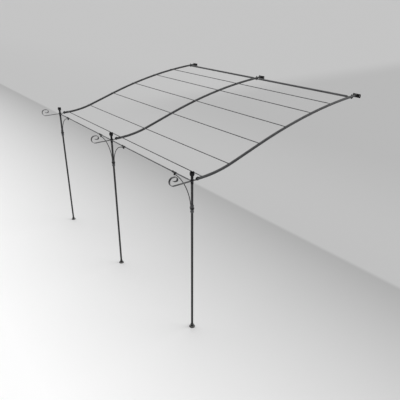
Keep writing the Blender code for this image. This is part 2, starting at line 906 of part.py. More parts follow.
def rafter_hole(distance, diameter, depth):
    """A hole square to the rafter, through its top wall only or, at depth -1, right through."""
    (y, z), slope = on_rafter(distance)
    normal = Vector((0, -math.sin(slope), math.cos(slope)))
    middle = Vector((0, y, z))
    return hole(diameter, middle + normal * depth * RAFTER_D, middle + normal * RAFTER_D)


def stack(levels, sides=12):
    """Hexagons and circles lofted along Z: (z, radius or half width across flats, hexagonal)."""
    rings = []
    for z, size, hexagonal in levels:
        ring = []
        for i in range(sides):
            turn = 2 * math.pi * i / sides
            corner = hexagonal and i * 6 % sides == 0
            radius = size / math.cos(math.pi / 6) if corner else size
            ring.append((radius * math.cos(turn), radius * math.sin(turn), z))
        rings.append(ring)
    return lofted(rings)


def bolt_mesh(sizes, low, high, nut):
    """A bolt along Z: washer and domed head above `high`, and below `low` a nut or a plain tip."""
    shank, flats, head, dome, washer, crown = sizes
    levels = [(low, shank / 2, False)]
    if nut:
        levels = [(low - head, flats / 2, True), (low, flats / 2, True), (low, shank / 2, False)]
    top = high + WASHER_T
    levels += [
        (high, shank / 2, False),
        (high, washer / 2, False),
        (top, washer / 2, False),
        (top, flats / 2, True),
        (top + head, flats / 2, True),
        (top + head + dome, crown / 2, False),
    ]
    return stack(levels)


def small_bolt(head, dome):
    return BOLT_D, BOLT_FLATS, head, dome, WASHER_D, BOLT_CROWN_D


def wall_bolt():
    bolt = (WALL_BOLT_D, WALL_BOLT_FLATS, WALL_BOLT_HEAD, WALL_BOLT_DOME)
    return *bolt, WALL_WASHER_D, WALL_BOLT_CROWN_D


def screw_corner_d():
    return SCREW_D / math.cos(math.pi / 6)


def screw_levels(low, high):
    return [
        (low, SCREW_D / 2, True),
        (high, SCREW_D / 2, True),
        (high, SCREW_FLATS / 2, True),
        (high + SCREW_HEAD_H, SCREW_FLATS / 2, True),
    ]


def purlin_axis():
    """Height of a purlin's axis above the rafter's axis, square to the slope."""
    return RAFTER_D / 2 + GAP + PURLIN_TAB + GAP / 2


def purlin_tab(level):
    """Height of a tab's middle above the purlin's own axis."""
    return (PURLIN_TAB + GAP) / 2 * (1 if level == "upper" else -1)


def purlin_mesh(left, right):
    """A rod with a tab at each end; ends are 'screwed', 'under' or 'over' the neighbour's tab."""
    level = {"screwed": "lower", "under": "lower", "over": "upper"}
    reach, end, neck = PURLIN_TAB_REACH, PURLIN_TAB_END, PURLIN_NECK
    stock = (PURLIN_D, PURLIN_TAB, PURLIN_TAB_WIDTH, reach, end, neck)
    heights = [purlin_tab(level[where]) for where in (left, right)]
    mesh = flat_ended_bar(stock, *heights, sides=PURLIN_SIDES)
    for x, end in ((0, left), (BAY, right)):
        middle = purlin_tab(level[end])
        if end == "under":
            mesh = cut(mesh, hole(screw_corner_d(), (x, 0, -PURLIN_D), (x, 0, PURLIN_D)))
            continue
        screw = stack(screw_levels(-SCREW_LENGTH, middle + PURLIN_TAB / 2 - GAP), sides=6)
        screw.transform(Matrix.Translation((x, 0, 0)))
        mesh = fused(mesh, screw)
    return mesh


def rail_tab_z(level):
    """Height of a rail tab's middle under the rafter's axis, square to the slope."""
    below = RAFTER_D / 2 + GAP + RAIL_TAB / 2
    return -below if level == "upper" else -below - RAIL_TAB - GAP


def rail_axis():
    """The rail's underside lines up with the lower tab's."""
    return rail_tab_z("lower") - RAIL_TAB / 2 + RAIL_D / 2


def rail_mesh(left, right):
    stock = (RAIL_D, RAIL_TAB, RAIL_TAB_WIDTH, RAIL_TAB_REACH, RAIL_TAB_END, RAIL_NECK)
    heights = [rail_tab_z(level) - rail_axis() for level in (left, right)]
    mesh = flat_ended_bar(stock, *heights, wall=RAIL_WALL)
    return cut(mesh, *[hole(WALL_BOLT_D, (x, 0, -RAIL_D), (x, 0, RAIL_D)) for x in (0, BAY)])


def plate_outline():
    """A rectangle with clipped corners, in X and Z about its middle."""
    x, z, c = PLATE_WIDTH / 2, PLATE_HEIGHT / 2, PLATE_CORNER
    right = [(x - c, -z), (x, -z + c), (x, z - c), (x - c, z)]
    return right + [(-px, pz) for px, pz in reversed(right)]


def plate_middle_z():
    (_, z), _ = on_rafter(rafter_length() + RAFTER_STOP - PLATE_T)
    return z - PLATE_DROP


def bracket_mesh():
    """The wall plate with its welded tube, which slides into the rafter's end."""
    back = plate(plate_outline(), PLATE_T)
    middle = Vector((0, WALL_DISTANCE - PLATE_T / 2, plate_middle_z()))
    back.transform(Matrix.Translation(middle) @ Matrix.Rotation(math.radians(90), 4, "X"))
    first = rafter_length() - SPIGOT_INSIDE
    last = rafter_length() + RAFTER_STOP - PLATE_T / 2
    ends = []
    for distance in (first, last):
        (y, z), _ = on_rafter(distance)
        ends.append((0, y, z))
    facet = math.cos(math.pi / RAFTER_SIDES)
    radius = RAFTER_D / 2 - (RAFTER_WALL + GAP) / facet
    spigot = tube(ends, radius, RAFTER_SIDES)
    hollow = cut(spigot, bore_cutter(ends, radius - SPIGOT_WALL))
    mesh = fused(back, hollow)
    holes = [rafter_hole(wall_bolt_place(), WALL_BOLT_D, -1)]
    for side in (-1, 1):
        x = side * (PLATE_WIDTH / 2 - PLATE_HOLE_INSET)
        y, z = middle[1], middle[2]
        holes.append(rod(PLATE_HOLE_D / 2, (x, y - PLATE_T, z), (x, y + PLATE_T, z), sides=8))
    return cut(mesh, *holes)


def bore_cutter(ends, radius):
    """A bar from before the first end to just short of the plate."""
    first, last = Vector(ends[0]), Vector(ends[1])
    along = (last - first).normalized()
    return rod(radius, first - along * OVERCUT, last - along * SPIGOT_FLOOR)


# The whole


def build_posts():
    foot = foot_mesh()
    finial = finial_mesh()
    brace_sides = {"left": (1,), "middle": (-1, 1), "right": (-1,)}
    for name, side in SIDES:
        spot = (side * BAY, 0, 0)
        lift = 0.0 if side == 0 else BEAM_TAB + GAP
        place("foot_" + name, "foot", foot, spot)
        place("post_" + name, "post", post_mesh(brace_sides[name]), spot)
        place("collar_" + name, "collar", collar_mesh(brace_sides[name]), spot)
        place("post_head_" + name, "post_head", head_mesh(lift), spot)
        place("finial_" + name, "finial", finial, spot)


def build_front():
    scroll = scroll_mesh()
    for name, side in SIDES:
        place("scroll_" + name, "scroll", scroll, (side * BAY, 0, 0))
    axis = beam_axis_z()
    place("front_beam_left", "front_beam", beam_mesh("upper", "lower"), (-BAY, 0, axis))
    place("front_beam_right", "front_beam", beam_mesh("upper", "upper"), (0, 0, axis))


def build_braces():
    brace, clamp = brace_mesh(), clamp_mesh()
    face = brace_start() + BRACE_TAB / 2 + GAP
    tip = POST_D / 2 - POST_WALL - BOLT_IN_POST
    bolt = bolt_mesh(small_bolt(BRACE_BOLT_HEAD, BRACE_BOLT_DOME), tip, face, False)
    for name, side, way in BRACES:
        turn = 0.0 if way > 0 else math.pi
        place("brace_" + name, "brace", brace, (side * BAY, 0, 0), (0, 0, turn))
        spot = (side * BAY + way * clamp_distance(), 0, beam_axis_z())
        place("beam_clamp_" + name, "beam_clamp", clamp, spot)
        spot = (side * BAY, 0, collar_z())
        place("brace_bolt_" + name, "bolt", bolt, spot, (0, way * math.pi / 2, 0))


def build_rafters():
    rafter, bracket = rafter_mesh(), bracket_mesh()
    front_low = rafter_axis_z() - RAFTER_D / 2 - GAP
    front_high = rafter_axis_z() + RAFTER_D / 2 + GAP
    front_bolt = bolt_mesh(small_bolt(BOLT_HEAD, BOLT_DOME), front_low, front_high, True)
    rail_low = rail_tab_z("lower") - RAIL_TAB / 2 - GAP
    rear_bolt = bolt_mesh(wall_bolt(), rail_low, RAFTER_D / 2 + GAP, True)
    (bolt_y, bolt_z), slope = on_rafter(wall_bolt_place())
    for name, side in SIDES:
        x = side * BAY
        place("rafter_" + name, "rafter", rafter, (x, 0, 0))
        place("wall_bracket_" + name, "wall_bracket", bracket, (x, 0, 0))
        front = (x, RAFTER_FRONT + TONGUE_BOLT, 0)
        place("front_bolt_" + name, "bolt", front_bolt, front)
        place("wall_bolt_" + name, "bolt", rear_bolt, (x, bolt_y, bolt_z), (slope, 0, 0))


def on_slope(distance, x, height):
    """Location and rotation of a piece at a height over the rafter's axis, square to the slope."""
    (y, z), slope = on_rafter(distance)
    spot = (x, y - math.sin(slope) * height, z + math.cos(slope) * height)
    return spot, (slope, 0, 0)


def build_rods():
    """Purlins on the rafters and rails under their wall ends, one of each per bay."""
    purlins = {
        "left": purlin_mesh("screwed", "under"),
        "right": purlin_mesh("over", "screwed"),
    }
    rails = {"left": rail_mesh("upper", "lower"), "right": rail_mesh("upper", "upper")}
    for name, side in BAYS:
        x = -BAY if side < 0 else 0.0
        for number, distance in enumerate(purlin_places(), 1):
            spot, turn = on_slope(distance, x, purlin_axis())
            place(f"purlin_{name}_{number}", "purlin", purlins[name], spot, turn)
        spot, turn = on_slope(wall_bolt_place(), x, rail_axis())
        place("back_rail_" + name, "back_rail", rails[name], spot, turn)


def main():
    clear_scene()
    new_collection("lean_to_pergola")
    new_collection("helpers")
    build_posts()
    build_front()
    build_braces()
    build_rafters()
    build_rods()


main()
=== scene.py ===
"""Looks for the lean-to pergola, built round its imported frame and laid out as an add-on.

Metres, +Z up. +X runs along the wall and +Y to the wall, from the middle post's foot.
"""

import math
from collections import namedtuple

import bmesh
import bpy
from bpy.props import FloatProperty, FloatVectorProperty, IntProperty, PointerProperty
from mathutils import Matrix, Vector


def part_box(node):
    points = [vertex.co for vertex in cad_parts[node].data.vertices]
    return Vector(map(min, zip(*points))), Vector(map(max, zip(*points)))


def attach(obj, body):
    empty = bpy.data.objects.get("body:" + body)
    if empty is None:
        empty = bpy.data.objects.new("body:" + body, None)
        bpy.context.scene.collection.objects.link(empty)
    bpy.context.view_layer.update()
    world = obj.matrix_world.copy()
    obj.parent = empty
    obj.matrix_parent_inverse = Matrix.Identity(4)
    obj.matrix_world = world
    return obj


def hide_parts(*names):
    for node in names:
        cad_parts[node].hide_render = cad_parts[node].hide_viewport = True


bl_info = {
    "name": "Lean-to Pergola",
    "version": (1, 0, 0),
    "blender": (4, 5, 0),
    "location": "View3D > Sidebar > Pergola",
    "description": "Models the pieces and finishes of a lean-to pergola round its frame",
    "category": "Add Mesh",
}

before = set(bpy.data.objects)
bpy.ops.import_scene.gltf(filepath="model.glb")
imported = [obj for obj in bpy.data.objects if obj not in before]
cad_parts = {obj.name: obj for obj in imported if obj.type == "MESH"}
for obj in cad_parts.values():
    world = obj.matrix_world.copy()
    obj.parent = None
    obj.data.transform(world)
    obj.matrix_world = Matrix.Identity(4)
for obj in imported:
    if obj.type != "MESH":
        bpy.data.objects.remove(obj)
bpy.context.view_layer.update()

Tab = namedtuple("Tab", "thickness width reach end neck")
Bolt = namedtuple("Bolt", "shank flats head dome washer_r washer_t")

# A post's side of the middle one, the sides on which it has braces, and the way in which a brace goes
SIDES = (("left", -1), ("middle", 0), ("right", 1))
BRACED_POSTS = (("left", -1, (1,)), ("middle", 0, (-1, 1)), ("right", 1, (-1,)))
BRACES = (("left", -1, 1), ("middle_left", 0, -1), ("middle_right", 0, 1), ("right", 1, -1))
BAY = 2.000
X_AXIS = Vector((1, 0, 0))
Y_AXIS = Vector((0, 1, 0))
Z_AXIS = Vector((0, 0, 1))

# Clearance between pieces, distances at which points are one or count as near, and the sharpest smooth angle
GAP = 0.0003
MERGE = 1e-6
NEAR = 1e-5
SMOOTH = 32.0

# Posts, feet and collars; the collar's stations are heights over the brace bolts
POST_WALL = 0.002
FOOT_R = 0.040
FOOT_RIM = 0.003
FOOT_DOME = 0.012
FOOT_FLOOR = 0.004
FOOT_FILLET = 0.003
FOOT_SOCKET_R = 0.021
FOOT_HEIGHT = 0.045
FOOT_HOLE_R = 0.00325
FOOT_SINK_R = 0.0058
FOOT_SINK = (0.0055, 0.0125)
FOOT_HOLE_START = 30.0
FOOT_HOLES = 3
COLLAR_R = 0.0265
COLLAR_RING_R = 0.023
COLLAR_RING_HALF = 0.0098
COLLAR_BODY_R = 0.0205
COLLAR_ABOVE = 0.047
COLLAR_BEAD = 0.035
COLLAR_WAIST = (0.024, -0.020)
COLLAR_BELL = (-0.023, -0.0385, -0.045)
COLLAR_BELOW = 0.057

# Heads and finials
HEAD_R = 0.0175
STUD_R = 0.005
FINIAL_BORE = 0.0223
FLANGE_R = 0.0215
FLANGE_H = 0.013
FLARE_H = 0.012
STEM_R = 0.0145
STEM_H = 0.031
BEAD_R = 0.018
BEAD_H = 0.014
NECK_R = 0.014
CUP_R = 0.029
CUP_H = 0.072
CUP_OUTSIDE = ((0.53, 0.09), (0.84, 0.26), (0.98, 0.43), (1.0, 0.60), (0.955, 0.80), (0.87, 1.0))
CUP_INSIDE = ((0.87, 1.0), (0.945, 0.80), (0.985, 0.60), (0.95, 0.44), (0.78, 0.30), (0.38, 0.19), (0, 0.17))
CUP_WALL = 0.0026
PETAL_DEPTH = 0.014
PETAL_REACH = 0.89

# Straps; a scroll's bends are a radius, an angle and the straight run after it
STRAP_T = 0.005
STRAP_WIDTH = 0.030
TONGUE_WIDTH = 0.022
TONGUE_LENGTH = 0.031
TONGUE_BOLT = 0.019
SHOULDER_GAP = 0.003
SCROLL_REACH = 0.26199
SCROLL_BENDS = (
    (0.058, 90.0, 0.0),
    (0.049, 90.0, 0.026),
    (0.037, 90.0, 0.0),
    (0.020, 90.0, 0.012),
    (0.045, 35.0, 0.0),
)

# Rafters
RAFTER_WALL = 0.0015
RAFTER_FRONT = 0.064
RAFTER_RISE = 0.007983
FRONT_BEND_R = 1.720
PITCH = 18.18
SLOPE_LENGTH = 0.476
REAR_BEND_R = 8.031239
REAR_TURN = -13.399774
TAIL_LENGTH = 0.110
WALL_BOLT_FROM_END = 0.060
PURLIN_STATIONS = (0.072, 0.506278, 1.039392, 1.531573, 2.041725, 2.463025)

# The pressed tabs of beams, purlins and rails, and the sides of their round stock
BEAM_TAB = Tab(thickness=0.003, width=0.024, reach=0.045, end=0.016, neck=0.032)
PURLIN_TAB = Tab(thickness=0.0025, width=0.018, reach=0.026, end=0.010, neck=0.018)
RAIL_TAB = Tab(thickness=0.004, width=0.046, reach=0.046, end=0.022, neck=0.040)
BEAM_FACETS = 28
PURLIN_FACETS = 20
RAIL_FACETS = 32
PRESS_STEPS = 6
NOSE_STEPS = 7
NOSE_FLAT = 0.35

# Braces and clamps; a stop ring's near and far side of the clamp's middle, and its thickness
BRACE_TAB = 0.004
BRACE_TAB_WIDTH = 0.014
BRACE_TOP_WIDTH = 0.013
BRACE_R = 0.327
BRACE_LOW_END = 0.014
BRACE_LOW_TAB = 0.0252
BRACE_TOP_TAB = 0.028
BRACE_TOP_RUN = 0.021
BRACE_NECK = 0.024
BRACE_FACETS = 24
BRACE_BOLT_INSIDE = 0.004
HOLE_IN_POST = (0.006, 0.030)
HOLE_IN_COLLAR = (0.008, 0.050)
CLAMP_WIDTH = 0.022
CLAMP_T = 0.0025
CLAMP_EAR_END = 0.014
CLAMP_EAR_CORNER = 0.004
CLAMP_BOLT_DROP = 0.025
CLAMP_FACETS = 10
STOP_RING = (0.027, 0.041, 0.0045)

# Wall brackets; a countersink's radius at the face and inside, and its depth
PLATE = (0.134, 0.056, 0.005)
PLATE_CORNER = 0.006
PLATE_HOLE_R = 0.00425
PLATE_HOLE_INSET = 0.018
PLATE_SINK = (0.0082, 0.0043, 0.0032)
SPIGOT_R = 0.01564
SPIGOT_WALL = 0.003
SPIGOT_INSIDE = 0.085
SPIGOT_BEYOND = 0.0655
BEAD_OUT = 0.0006
BEAD_ROUND = 0.0021
BEAD_SWELL = 1.16
BEAD_PUDDLES = 24

# Bolts, and the curved washer under each front bolt
BRACE_BOLT = Bolt(shank=0.004, flats=0.013, head=0.008, dome=0.008, washer_r=0.0085, washer_t=0.0016)
FRONT_BOLT = Bolt(shank=0.004, flats=0.013, head=0.004, dome=0.002, washer_r=0.0, washer_t=0.0016)
LARGE_BOLT = Bolt(shank=0.005, flats=0.017, head=0.008, dome=0.007, washer_r=0.0105, washer_t=0.0016)
CLAMP_BOLT = Bolt(shank=0.003, flats=0.010, head=0.0045, dome=0.0, washer_r=0.0, washer_t=0.0)
PURLIN_SCREW = Bolt(shank=0.002, flats=0.008, head=0.003, dome=0.0, washer_r=0.0, washer_t=0.0)
PURLIN_SCREW_DEPTH = 0.009
SADDLE_LENGTH = 0.030
SADDLE_SPREAD = 96.0

# Dust with a painted highlight on faces that look up, rain marks and rubbed edges
DUST_AND_HIGHLIGHT_TINT = (0.26, 0.255, 0.24, 1.0)
MARK_COLOUR = (0.20, 0.20, 0.195, 1.0)
DUST_DULLS = 0.5
RUBBED_LIGHTER = 3.2
EDGE_WIDTH = 0.0012
COAT_IOR = 1.5

# Camera, solved from the photograph's own lines
CAMERA_PLACE = (5.7631, -2.8296, 4.1086)
CAMERA_TURN = (65.012780, -0.426828, 52.111321)
CAMERA_LENS = 39.2472
SENSOR = 36.0

# Floor: Y where it is lightest and painted shade starts to darken it towards the wall line, its soft step at
# the wall line, Y where it is even again, and where a patch of painted shadow darkens it beyond the wall line
FLOOR_SIZE = 3000.0
FLOOR_DROP = 0.0005
PAINTED_SHADE_FROM = -2.0
SEAM = (3.04, 3.16)
FAR_FROM = 14.0
PAINTED_SHADOW_DEPTH = (3.5, 9.0)
PAINTED_SHADOW_SIDE = (-12.0, -8.5)
FLOOR_ROUGHNESS = 0.9
FLOOR_IOR = 1.1

# Lamps: place, turn and spread
BROAD_LAMP = ((-3, 1, 6), (-8.0, -32.0, 0.0), 60.0)
REAR_LAMP = ((3, 5, 4), (-53.1, 48.6, 0.0), 50.0)

# What settings of one kind share
TUBE = {"min": 0.005, "unit": "LENGTH"}
SHARE = {"min": 0.0, "max": 1.0, "subtype": "FACTOR"}
COLOUR = {"min": 0.0, "max": 1.0, "subtype": "COLOR", "size": 4}


# Settings that a user would change


class PergolaSizes(bpy.types.PropertyGroup):
    post_d: FloatProperty(
        name="Post Diameter", description="Outside of the post tubes", default=0.030, **TUBE
    )
    rafter_d: FloatProperty(
        name="Rafter Diameter", description="Outside of the rafter tubes", default=0.035, **TUBE
    )
    beam_d: FloatProperty(
        name="Beam Diameter", description="Outside of the front beams", default=0.017, **TUBE
    )
    rail_d: FloatProperty(
        name="Rail Diameter", description="Outside of the back rails", default=0.032, **TUBE
    )
    purlin_d: FloatProperty(
        name="Purlin Diameter", description="Thickness of the purlin rods", default=0.012, **TUBE
    )
    brace_d: FloatProperty(
        name="Brace Diameter", description="Thickness of the bent braces", default=0.011, **TUBE
    )
    facets: IntProperty(name="Facets", description="Sides of a round tube", default=40, min=16)


class PergolaFinishes(bpy.types.PropertyGroup):
    graphite: FloatVectorProperty(
        name="Graphite Coat",
        description="Straps, braces and rafters",
        default=(0.020, 0.021, 0.023, 1.0),
        **COLOUR,
    )
    post: FloatVectorProperty(
        name="Post Coat",
        description="The posts and their feet",
        default=(0.009, 0.0095, 0.0105, 1.0),
        **COLOUR,
    )
    black: FloatVectorProperty(
        name="Black Coat",
        description="Collar rings, heads, finials, clamps, saddles and wall plates",
        default=(0.005, 0.005, 0.006, 1.0),
        **COLOUR,
    )
    # Lighter than the graphite coat: the beams carry a painted highlight in this grey
    grey_with_painted_highlight: FloatVectorProperty(
        name="Grey Coat",
        description="The two front beams",
        default=(0.080, 0.082, 0.086, 1.0),
        **COLOUR,
    )
    # Lighter than the graphite coat: rails, purlins and collar sleeves carry a painted highlight in this
    # colour
    rod: FloatVectorProperty(
        name="Rod Coat",
        description="Back rails, purlins and collar sleeves",
        default=(0.045, 0.046, 0.049, 1.0),
        **COLOUR,
    )
    steel: FloatVectorProperty(
        name="Blackened Steel",
        description="Bolts, nuts, washers and screws",
        default=(0.012, 0.012, 0.013, 1.0),
        **COLOUR,
    )
    roughness: FloatProperty(
        name="Coat Roughness", description="Roughness of the powder coat", default=0.42, **SHARE
    )


class PergolaStage(bpy.types.PropertyGroup):
    floor_light: FloatProperty(
        name="Light Floor", description="Grey well in front of the posts", default=0.97, **SHARE
    )
    # Painted shade: the floor darkens to this grey at the wall line
    floor_painted_shade: FloatProperty(
        name="Dim Floor", description="Grey just in front of the wall line", default=0.42, **SHARE
    )
    floor_step: FloatProperty(
        name="Step At Wall", description="Grey just beyond the wall line", default=0.52, **SHARE
    )
    # Painted shadow: a soft darker patch some metres beyond the wall line
    floor_painted_shadow: FloatProperty(
        name="Dip Beyond Wall", description="Grey some metres beyond the wall line", default=0.47, **SHARE
    )
    floor_beyond: FloatProperty(
        name="Far Floor", description="Grey far beyond the wall line", default=0.54, **SHARE
    )
    backdrop: FloatVectorProperty(
        name="Backdrop",
        description="World seen by the camera",
        default=(0.50, 0.50, 0.50, 1.0),
        **COLOUR,
    )
    lamp: FloatProperty(
        name="Soft Lamp", description="Strength of the broad overhead lamp", default=1.45, min=0.0
    )
    rear_lamp: FloatProperty(
        name="Rear Lamp", description="Strength of the lamp behind at the right", default=1.6, min=0.0
    )
    sky: FloatProperty(
        name="Sky Light", description="Strength of the even light", default=0.435, min=0.0
    )


# Modelling helpers


def alone(obj):
    """Only this piece is selected, and it is the active one."""
    bpy.ops.object.select_all(action="DESELECT")
    obj.select_set(True)
    bpy.context.view_layer.objects.active = obj


def edit(obj):
    alone(obj)
    bpy.ops.object.mode_set(mode="EDIT")
    bpy.context.tool_settings.mesh_select_mode = (True, False, False)


def named(obj, name):
    obj.name = name
    obj.data.name = name
    return obj


def pick(obj, test):
    """In edit mode, selects the points that pass the test, with the edges and faces between them."""
    bpy.ops.mesh.select_all(action="DESELECT")
    bm = bmesh.from_edit_mesh(obj.data)
    for vert in bm.verts:
        if test(vert.co):
            vert.select_set(True)
    bm.select_flush(True)
    bmesh.update_edit_mesh(obj.data)


def choose(obj, indices):
    """In edit mode, adds these points to the selection, with the edges and faces between them."""
    bm = bmesh.from_edit_mesh(obj.data)
    bm.verts.ensure_lookup_table()
    for index in indices:
        bm.verts[index].select_set(True)
    bm.select_flush(True)
    bmesh.update_edit_mesh(obj.data)


def open_ring(name, radius, sides, centre, facing):
    """A ring of edges square to a direction, in edit mode with all of it selected."""
    bpy.ops.object.select_all(action="DESELECT")
    turn = Vector(facing).to_track_quat("Z", "Y").to_euler()
    bpy.ops.mesh.primitive_circle_add(vertices=sides, radius=radius, location=centre, rotation=turn)
    obj = named(bpy.context.object, name)
    bpy.ops.object.transform_apply()
    edit(obj)
    bpy.ops.mesh.select_all(action="SELECT")
    return obj


def open_sheet(name, size, centre, turn):
    """A flat rectangle, in edit mode with all of it selected."""
    bpy.ops.object.select_all(action="DESELECT")
    bpy.ops.mesh.primitive_plane_add(size=1.0, location=centre, rotation=turn)
    obj = named(bpy.context.object, name)
    obj.scale = (*size, 1.0)
    bpy.ops.object.transform_apply()
    edit(obj)
    bpy.ops.mesh.select_all(action="SELECT")
    return obj


def draw_out(vector):
    bpy.ops.mesh.extrude_region_move(TRANSFORM_OT_translate={"value": vector})


def swing(centre, axis, degrees, steps):
    """Extrudes the selection along an arc; the turn is right-handed about the axis."""
    bpy.ops.mesh.spin(steps=steps, angle=-math.radians(degrees), center=centre, axis=axis)


def resize(centre, factors):
    bpy.ops.transform.resize(value=factors, center_override=centre)


def rounded_corners(obj, test, width, segments):
    """In edit mode, bevels the edges whose two ends pass the test."""
    bpy.ops.mesh.select_all(action="DESELECT")
    bm = bmesh.from_edit_mesh(obj.data)
    for edge in bm.edges:
        edge.select_set(test(*(vert.co for vert in edge.verts)))
    bmesh.update_edit_mesh(obj.data)
    bpy.context.tool_settings.mesh_select_mode = (False, True, False)
    bpy.ops.mesh.bevel(offset=width, segments=segments)
    bpy.context.tool_settings.mesh_select_mode = (True, False, False)


def settle(obj):
    """Welds the mesh, turns its faces outwards and shades it, and leaves edit mode."""
    bpy.ops.mesh.select_all(action="SELECT")
    bpy.ops.mesh.remove_doubles(threshold=MERGE)
    bpy.ops.mesh.normals_make_consistent(inside=False)
    bpy.ops.object.mode_set(mode="OBJECT")
    shade(obj)


def shade(obj, angle=SMOOTH):
    alone(obj)
    bpy.ops.object.shade_smooth_by_angle(angle=math.radians(angle))


def applied(obj, kind, **values):
    """Adds a modifier with these values and applies it."""
    alone(obj)
    step = obj.modifiers.new("step", kind)
    for key, value in values.items():
        setattr(step, key, value)
    bpy.ops.object.modifier_apply(modifier=step.name)


def walled(obj, thickness):
    applied(obj, "SOLIDIFY", thickness=thickness, offset=-1.0, use_even_offset=True)


def softened(obj, width, segments, angle):
    """Bevels the edges that turn by more than an angle."""
    limit = math.radians(angle)
    applied(obj, "BEVEL", width=width, segments=segments, limit_method="ANGLE", angle_limit=limit)
    shade(obj)
    return obj


def combined(obj, other, operation):
    """Cuts or joins a piece with another one, which is used up."""
    applied(obj, "BOOLEAN", operation=operation, solver="EXACT", object=other)
    removed(other)


def drilled(obj, holes):
    """Cuts round holes: each is (radius, start, end)."""
    for radius, start, end in holes:
        combined(obj, bar(radius, start, end), "DIFFERENCE")
    shade(obj)
    return obj


def bar(radius, start, end, sides=32, end_radius=None):
    """A closed round bar, or a cone with an end radius, from start to end."""
    start, end = Vector(start), Vector(end)
    turn = (end - start).to_track_quat("Z", "Y").to_euler()
    last = radius if end_radius is None else end_radius
    bpy.ops.object.select_all(action="DESELECT")
    bpy.ops.mesh.primitive_cone_add(
        vertices=sides,
        radius1=radius,
        radius2=last,
        depth=(end - start).length,
        location=(start + end) / 2,
        rotation=turn,
    )
    bpy.ops.object.transform_apply()
    return bpy.context.object


def slab(low, high):
    low, high = Vector(low), Vector(high)
    bpy.ops.object.select_all(action="DESELECT")
    bpy.ops.mesh.primitive_cube_add(size=1.0, location=(low + high) / 2, scale=high - low)
    bpy.ops.object.transform_apply()
    return bpy.context.object


def turned(name, profile, sides=64):
    """A profile of (radius, z) drawn out point by point and spun about Z."""
    bpy.ops.object.select_all(action="DESELECT")
    bpy.ops.mesh.primitive_plane_add(size=0.01, location=(0, 0, 0))
    obj = named(bpy.context.object, name)
    edit(obj)
    bpy.ops.mesh.select_all(action="SELECT")
    bpy.ops.mesh.merge(type="CENTER")
    bpy.ops.transform.translate(value=(profile[0][0], 0, profile[0][1]))
    for (r0, z0), (r1, z1) in zip(profile, profile[1:]):
        draw_out((r1 - r0, 0, z1 - z0))
    bpy.ops.mesh.select_all(action="SELECT")
    swing((0, 0, 0), Z_AXIS, 360.0, sides)
    settle(obj)
    return obj


def copied(obj, name, place, turn=(0.0, 0.0, 0.0)):
    """A copy with its own mesh, turned about the origin and moved, with its place in its mesh."""
    alone(obj)
    bpy.ops.object.duplicate()
    made = named(bpy.context.object, name)
    made.rotation_euler = turn
    made.location = place
    bpy.ops.object.transform_apply()
    return made


def joined(parts, name):
    bpy.ops.object.select_all(action="DESELECT")
    for part in parts:
        part.select_set(True)
    bpy.context.view_layer.objects.active = parts[0]
    bpy.ops.object.join()
    return named(parts[0], name)


def removed(*parts):
    bpy.ops.object.select_all(action="DESELECT")
    for part in parts:
        part.select_set(True)
    bpy.ops.object.delete()


def placed(name, model, place, finish, node=None):
    """Copies a model to its place on the frame, with its finish, where it may stand for a node."""
    piece = copied(model, name, *place)
    piece.data.materials.clear()
    piece.data.materials.append(bpy.data.materials[finish])
    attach(piece, "root")
    if node:
        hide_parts(node)


def placed_for(node, ending, model, place, finish):
    """Copies a model to its place on the frame, where it stands for a node."""
    placed(f"{node}_{ending}", model, place, finish, node)


def at_each_post(kind, ending, model, finish):
    """Copies a model to the three posts, where it stands for the nodes of its kind, and removes it."""
    for name, side in SIDES:
        placed_for(f"{kind}_{name}", ending, model, at_post(side), finish)
    removed(model)


def arc(centre, radii, start, end, steps):
    """Points of (radius, z) on an ellipse's arc about a centre, from one angle in degrees to another."""
    made = []
    for i in range(steps + 1):
        turn = math.radians(start + (end - start) * i / steps)
        made.append((centre[0] + radii[0] * math.cos(turn), centre[1] + radii[1] * math.sin(turn)))
    return made


def rounding(radius, z, size, start, end, steps):
    """An arc that rounds off the outer corner at a radius, below z."""
    return arc((radius - size, z - size), (size, size), start, end, steps)


# Places; each is a spot and the turn that a piece gets there


def at_post(side, z=0.0, along=0.0, turn=(0.0, 0.0, 0.0)):
    """On a post's axis, or beside it along the wall."""
    return Vector((side * BAY + along, 0, z)), turn


def on_rafter(side, station, height):
    """At a height over a rafter's axis, turned to lie along its slope."""
    spot, slope = across_rafter(station, height)
    return spot + X_AXIS * side * BAY, (slope, 0.0, 0.0)


# Heights taken from the frame


def strap_z():
    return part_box("scroll_middle")[0].z + STRAP_T / 2


def beam_z():
    low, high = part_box("front_beam_left")
    return (low.z + high.z) / 2


def collar_z():
    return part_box("collar_middle")[0].z + COLLAR_BELOW


def rafter_z():
    return strap_z() + RAFTER_RISE


def finial_z():
    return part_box("finial_middle")[0].z


# The rafter's path in Y and Z


def rafter_runs():
    return (
        (TONGUE_LENGTH, 0.0, 0.0),
        (FRONT_BEND_R * math.radians(PITCH), PITCH, FRONT_BEND_R),
        (SLOPE_LENGTH, 0.0, 0.0),
        (REAR_BEND_R * math.radians(-REAR_TURN), REAR_TURN, REAR_BEND_R),
        (TAIL_LENGTH, 0.0, 0.0),
    )


def advance(here, heading, length, degrees, radius):
    """Where a straight or bent run ends, in (y, z) and heading."""
    if not degrees:
        return here + Vector((math.cos(heading), math.sin(heading))) * length, heading
    centre = bend_centre(here, heading, degrees, radius)
    turn = math.copysign(length / radius, degrees)
    arm, cos, sin = here - centre, math.cos(turn), math.sin(turn)
    return centre + Vector((arm.x * cos - arm.y * sin, arm.x * sin + arm.y * cos)), heading + turn


def bend_centre(here, heading, degrees, radius):
    side = math.copysign(1.0, degrees)
    return here + Vector((-math.sin(heading), math.cos(heading))) * radius * side


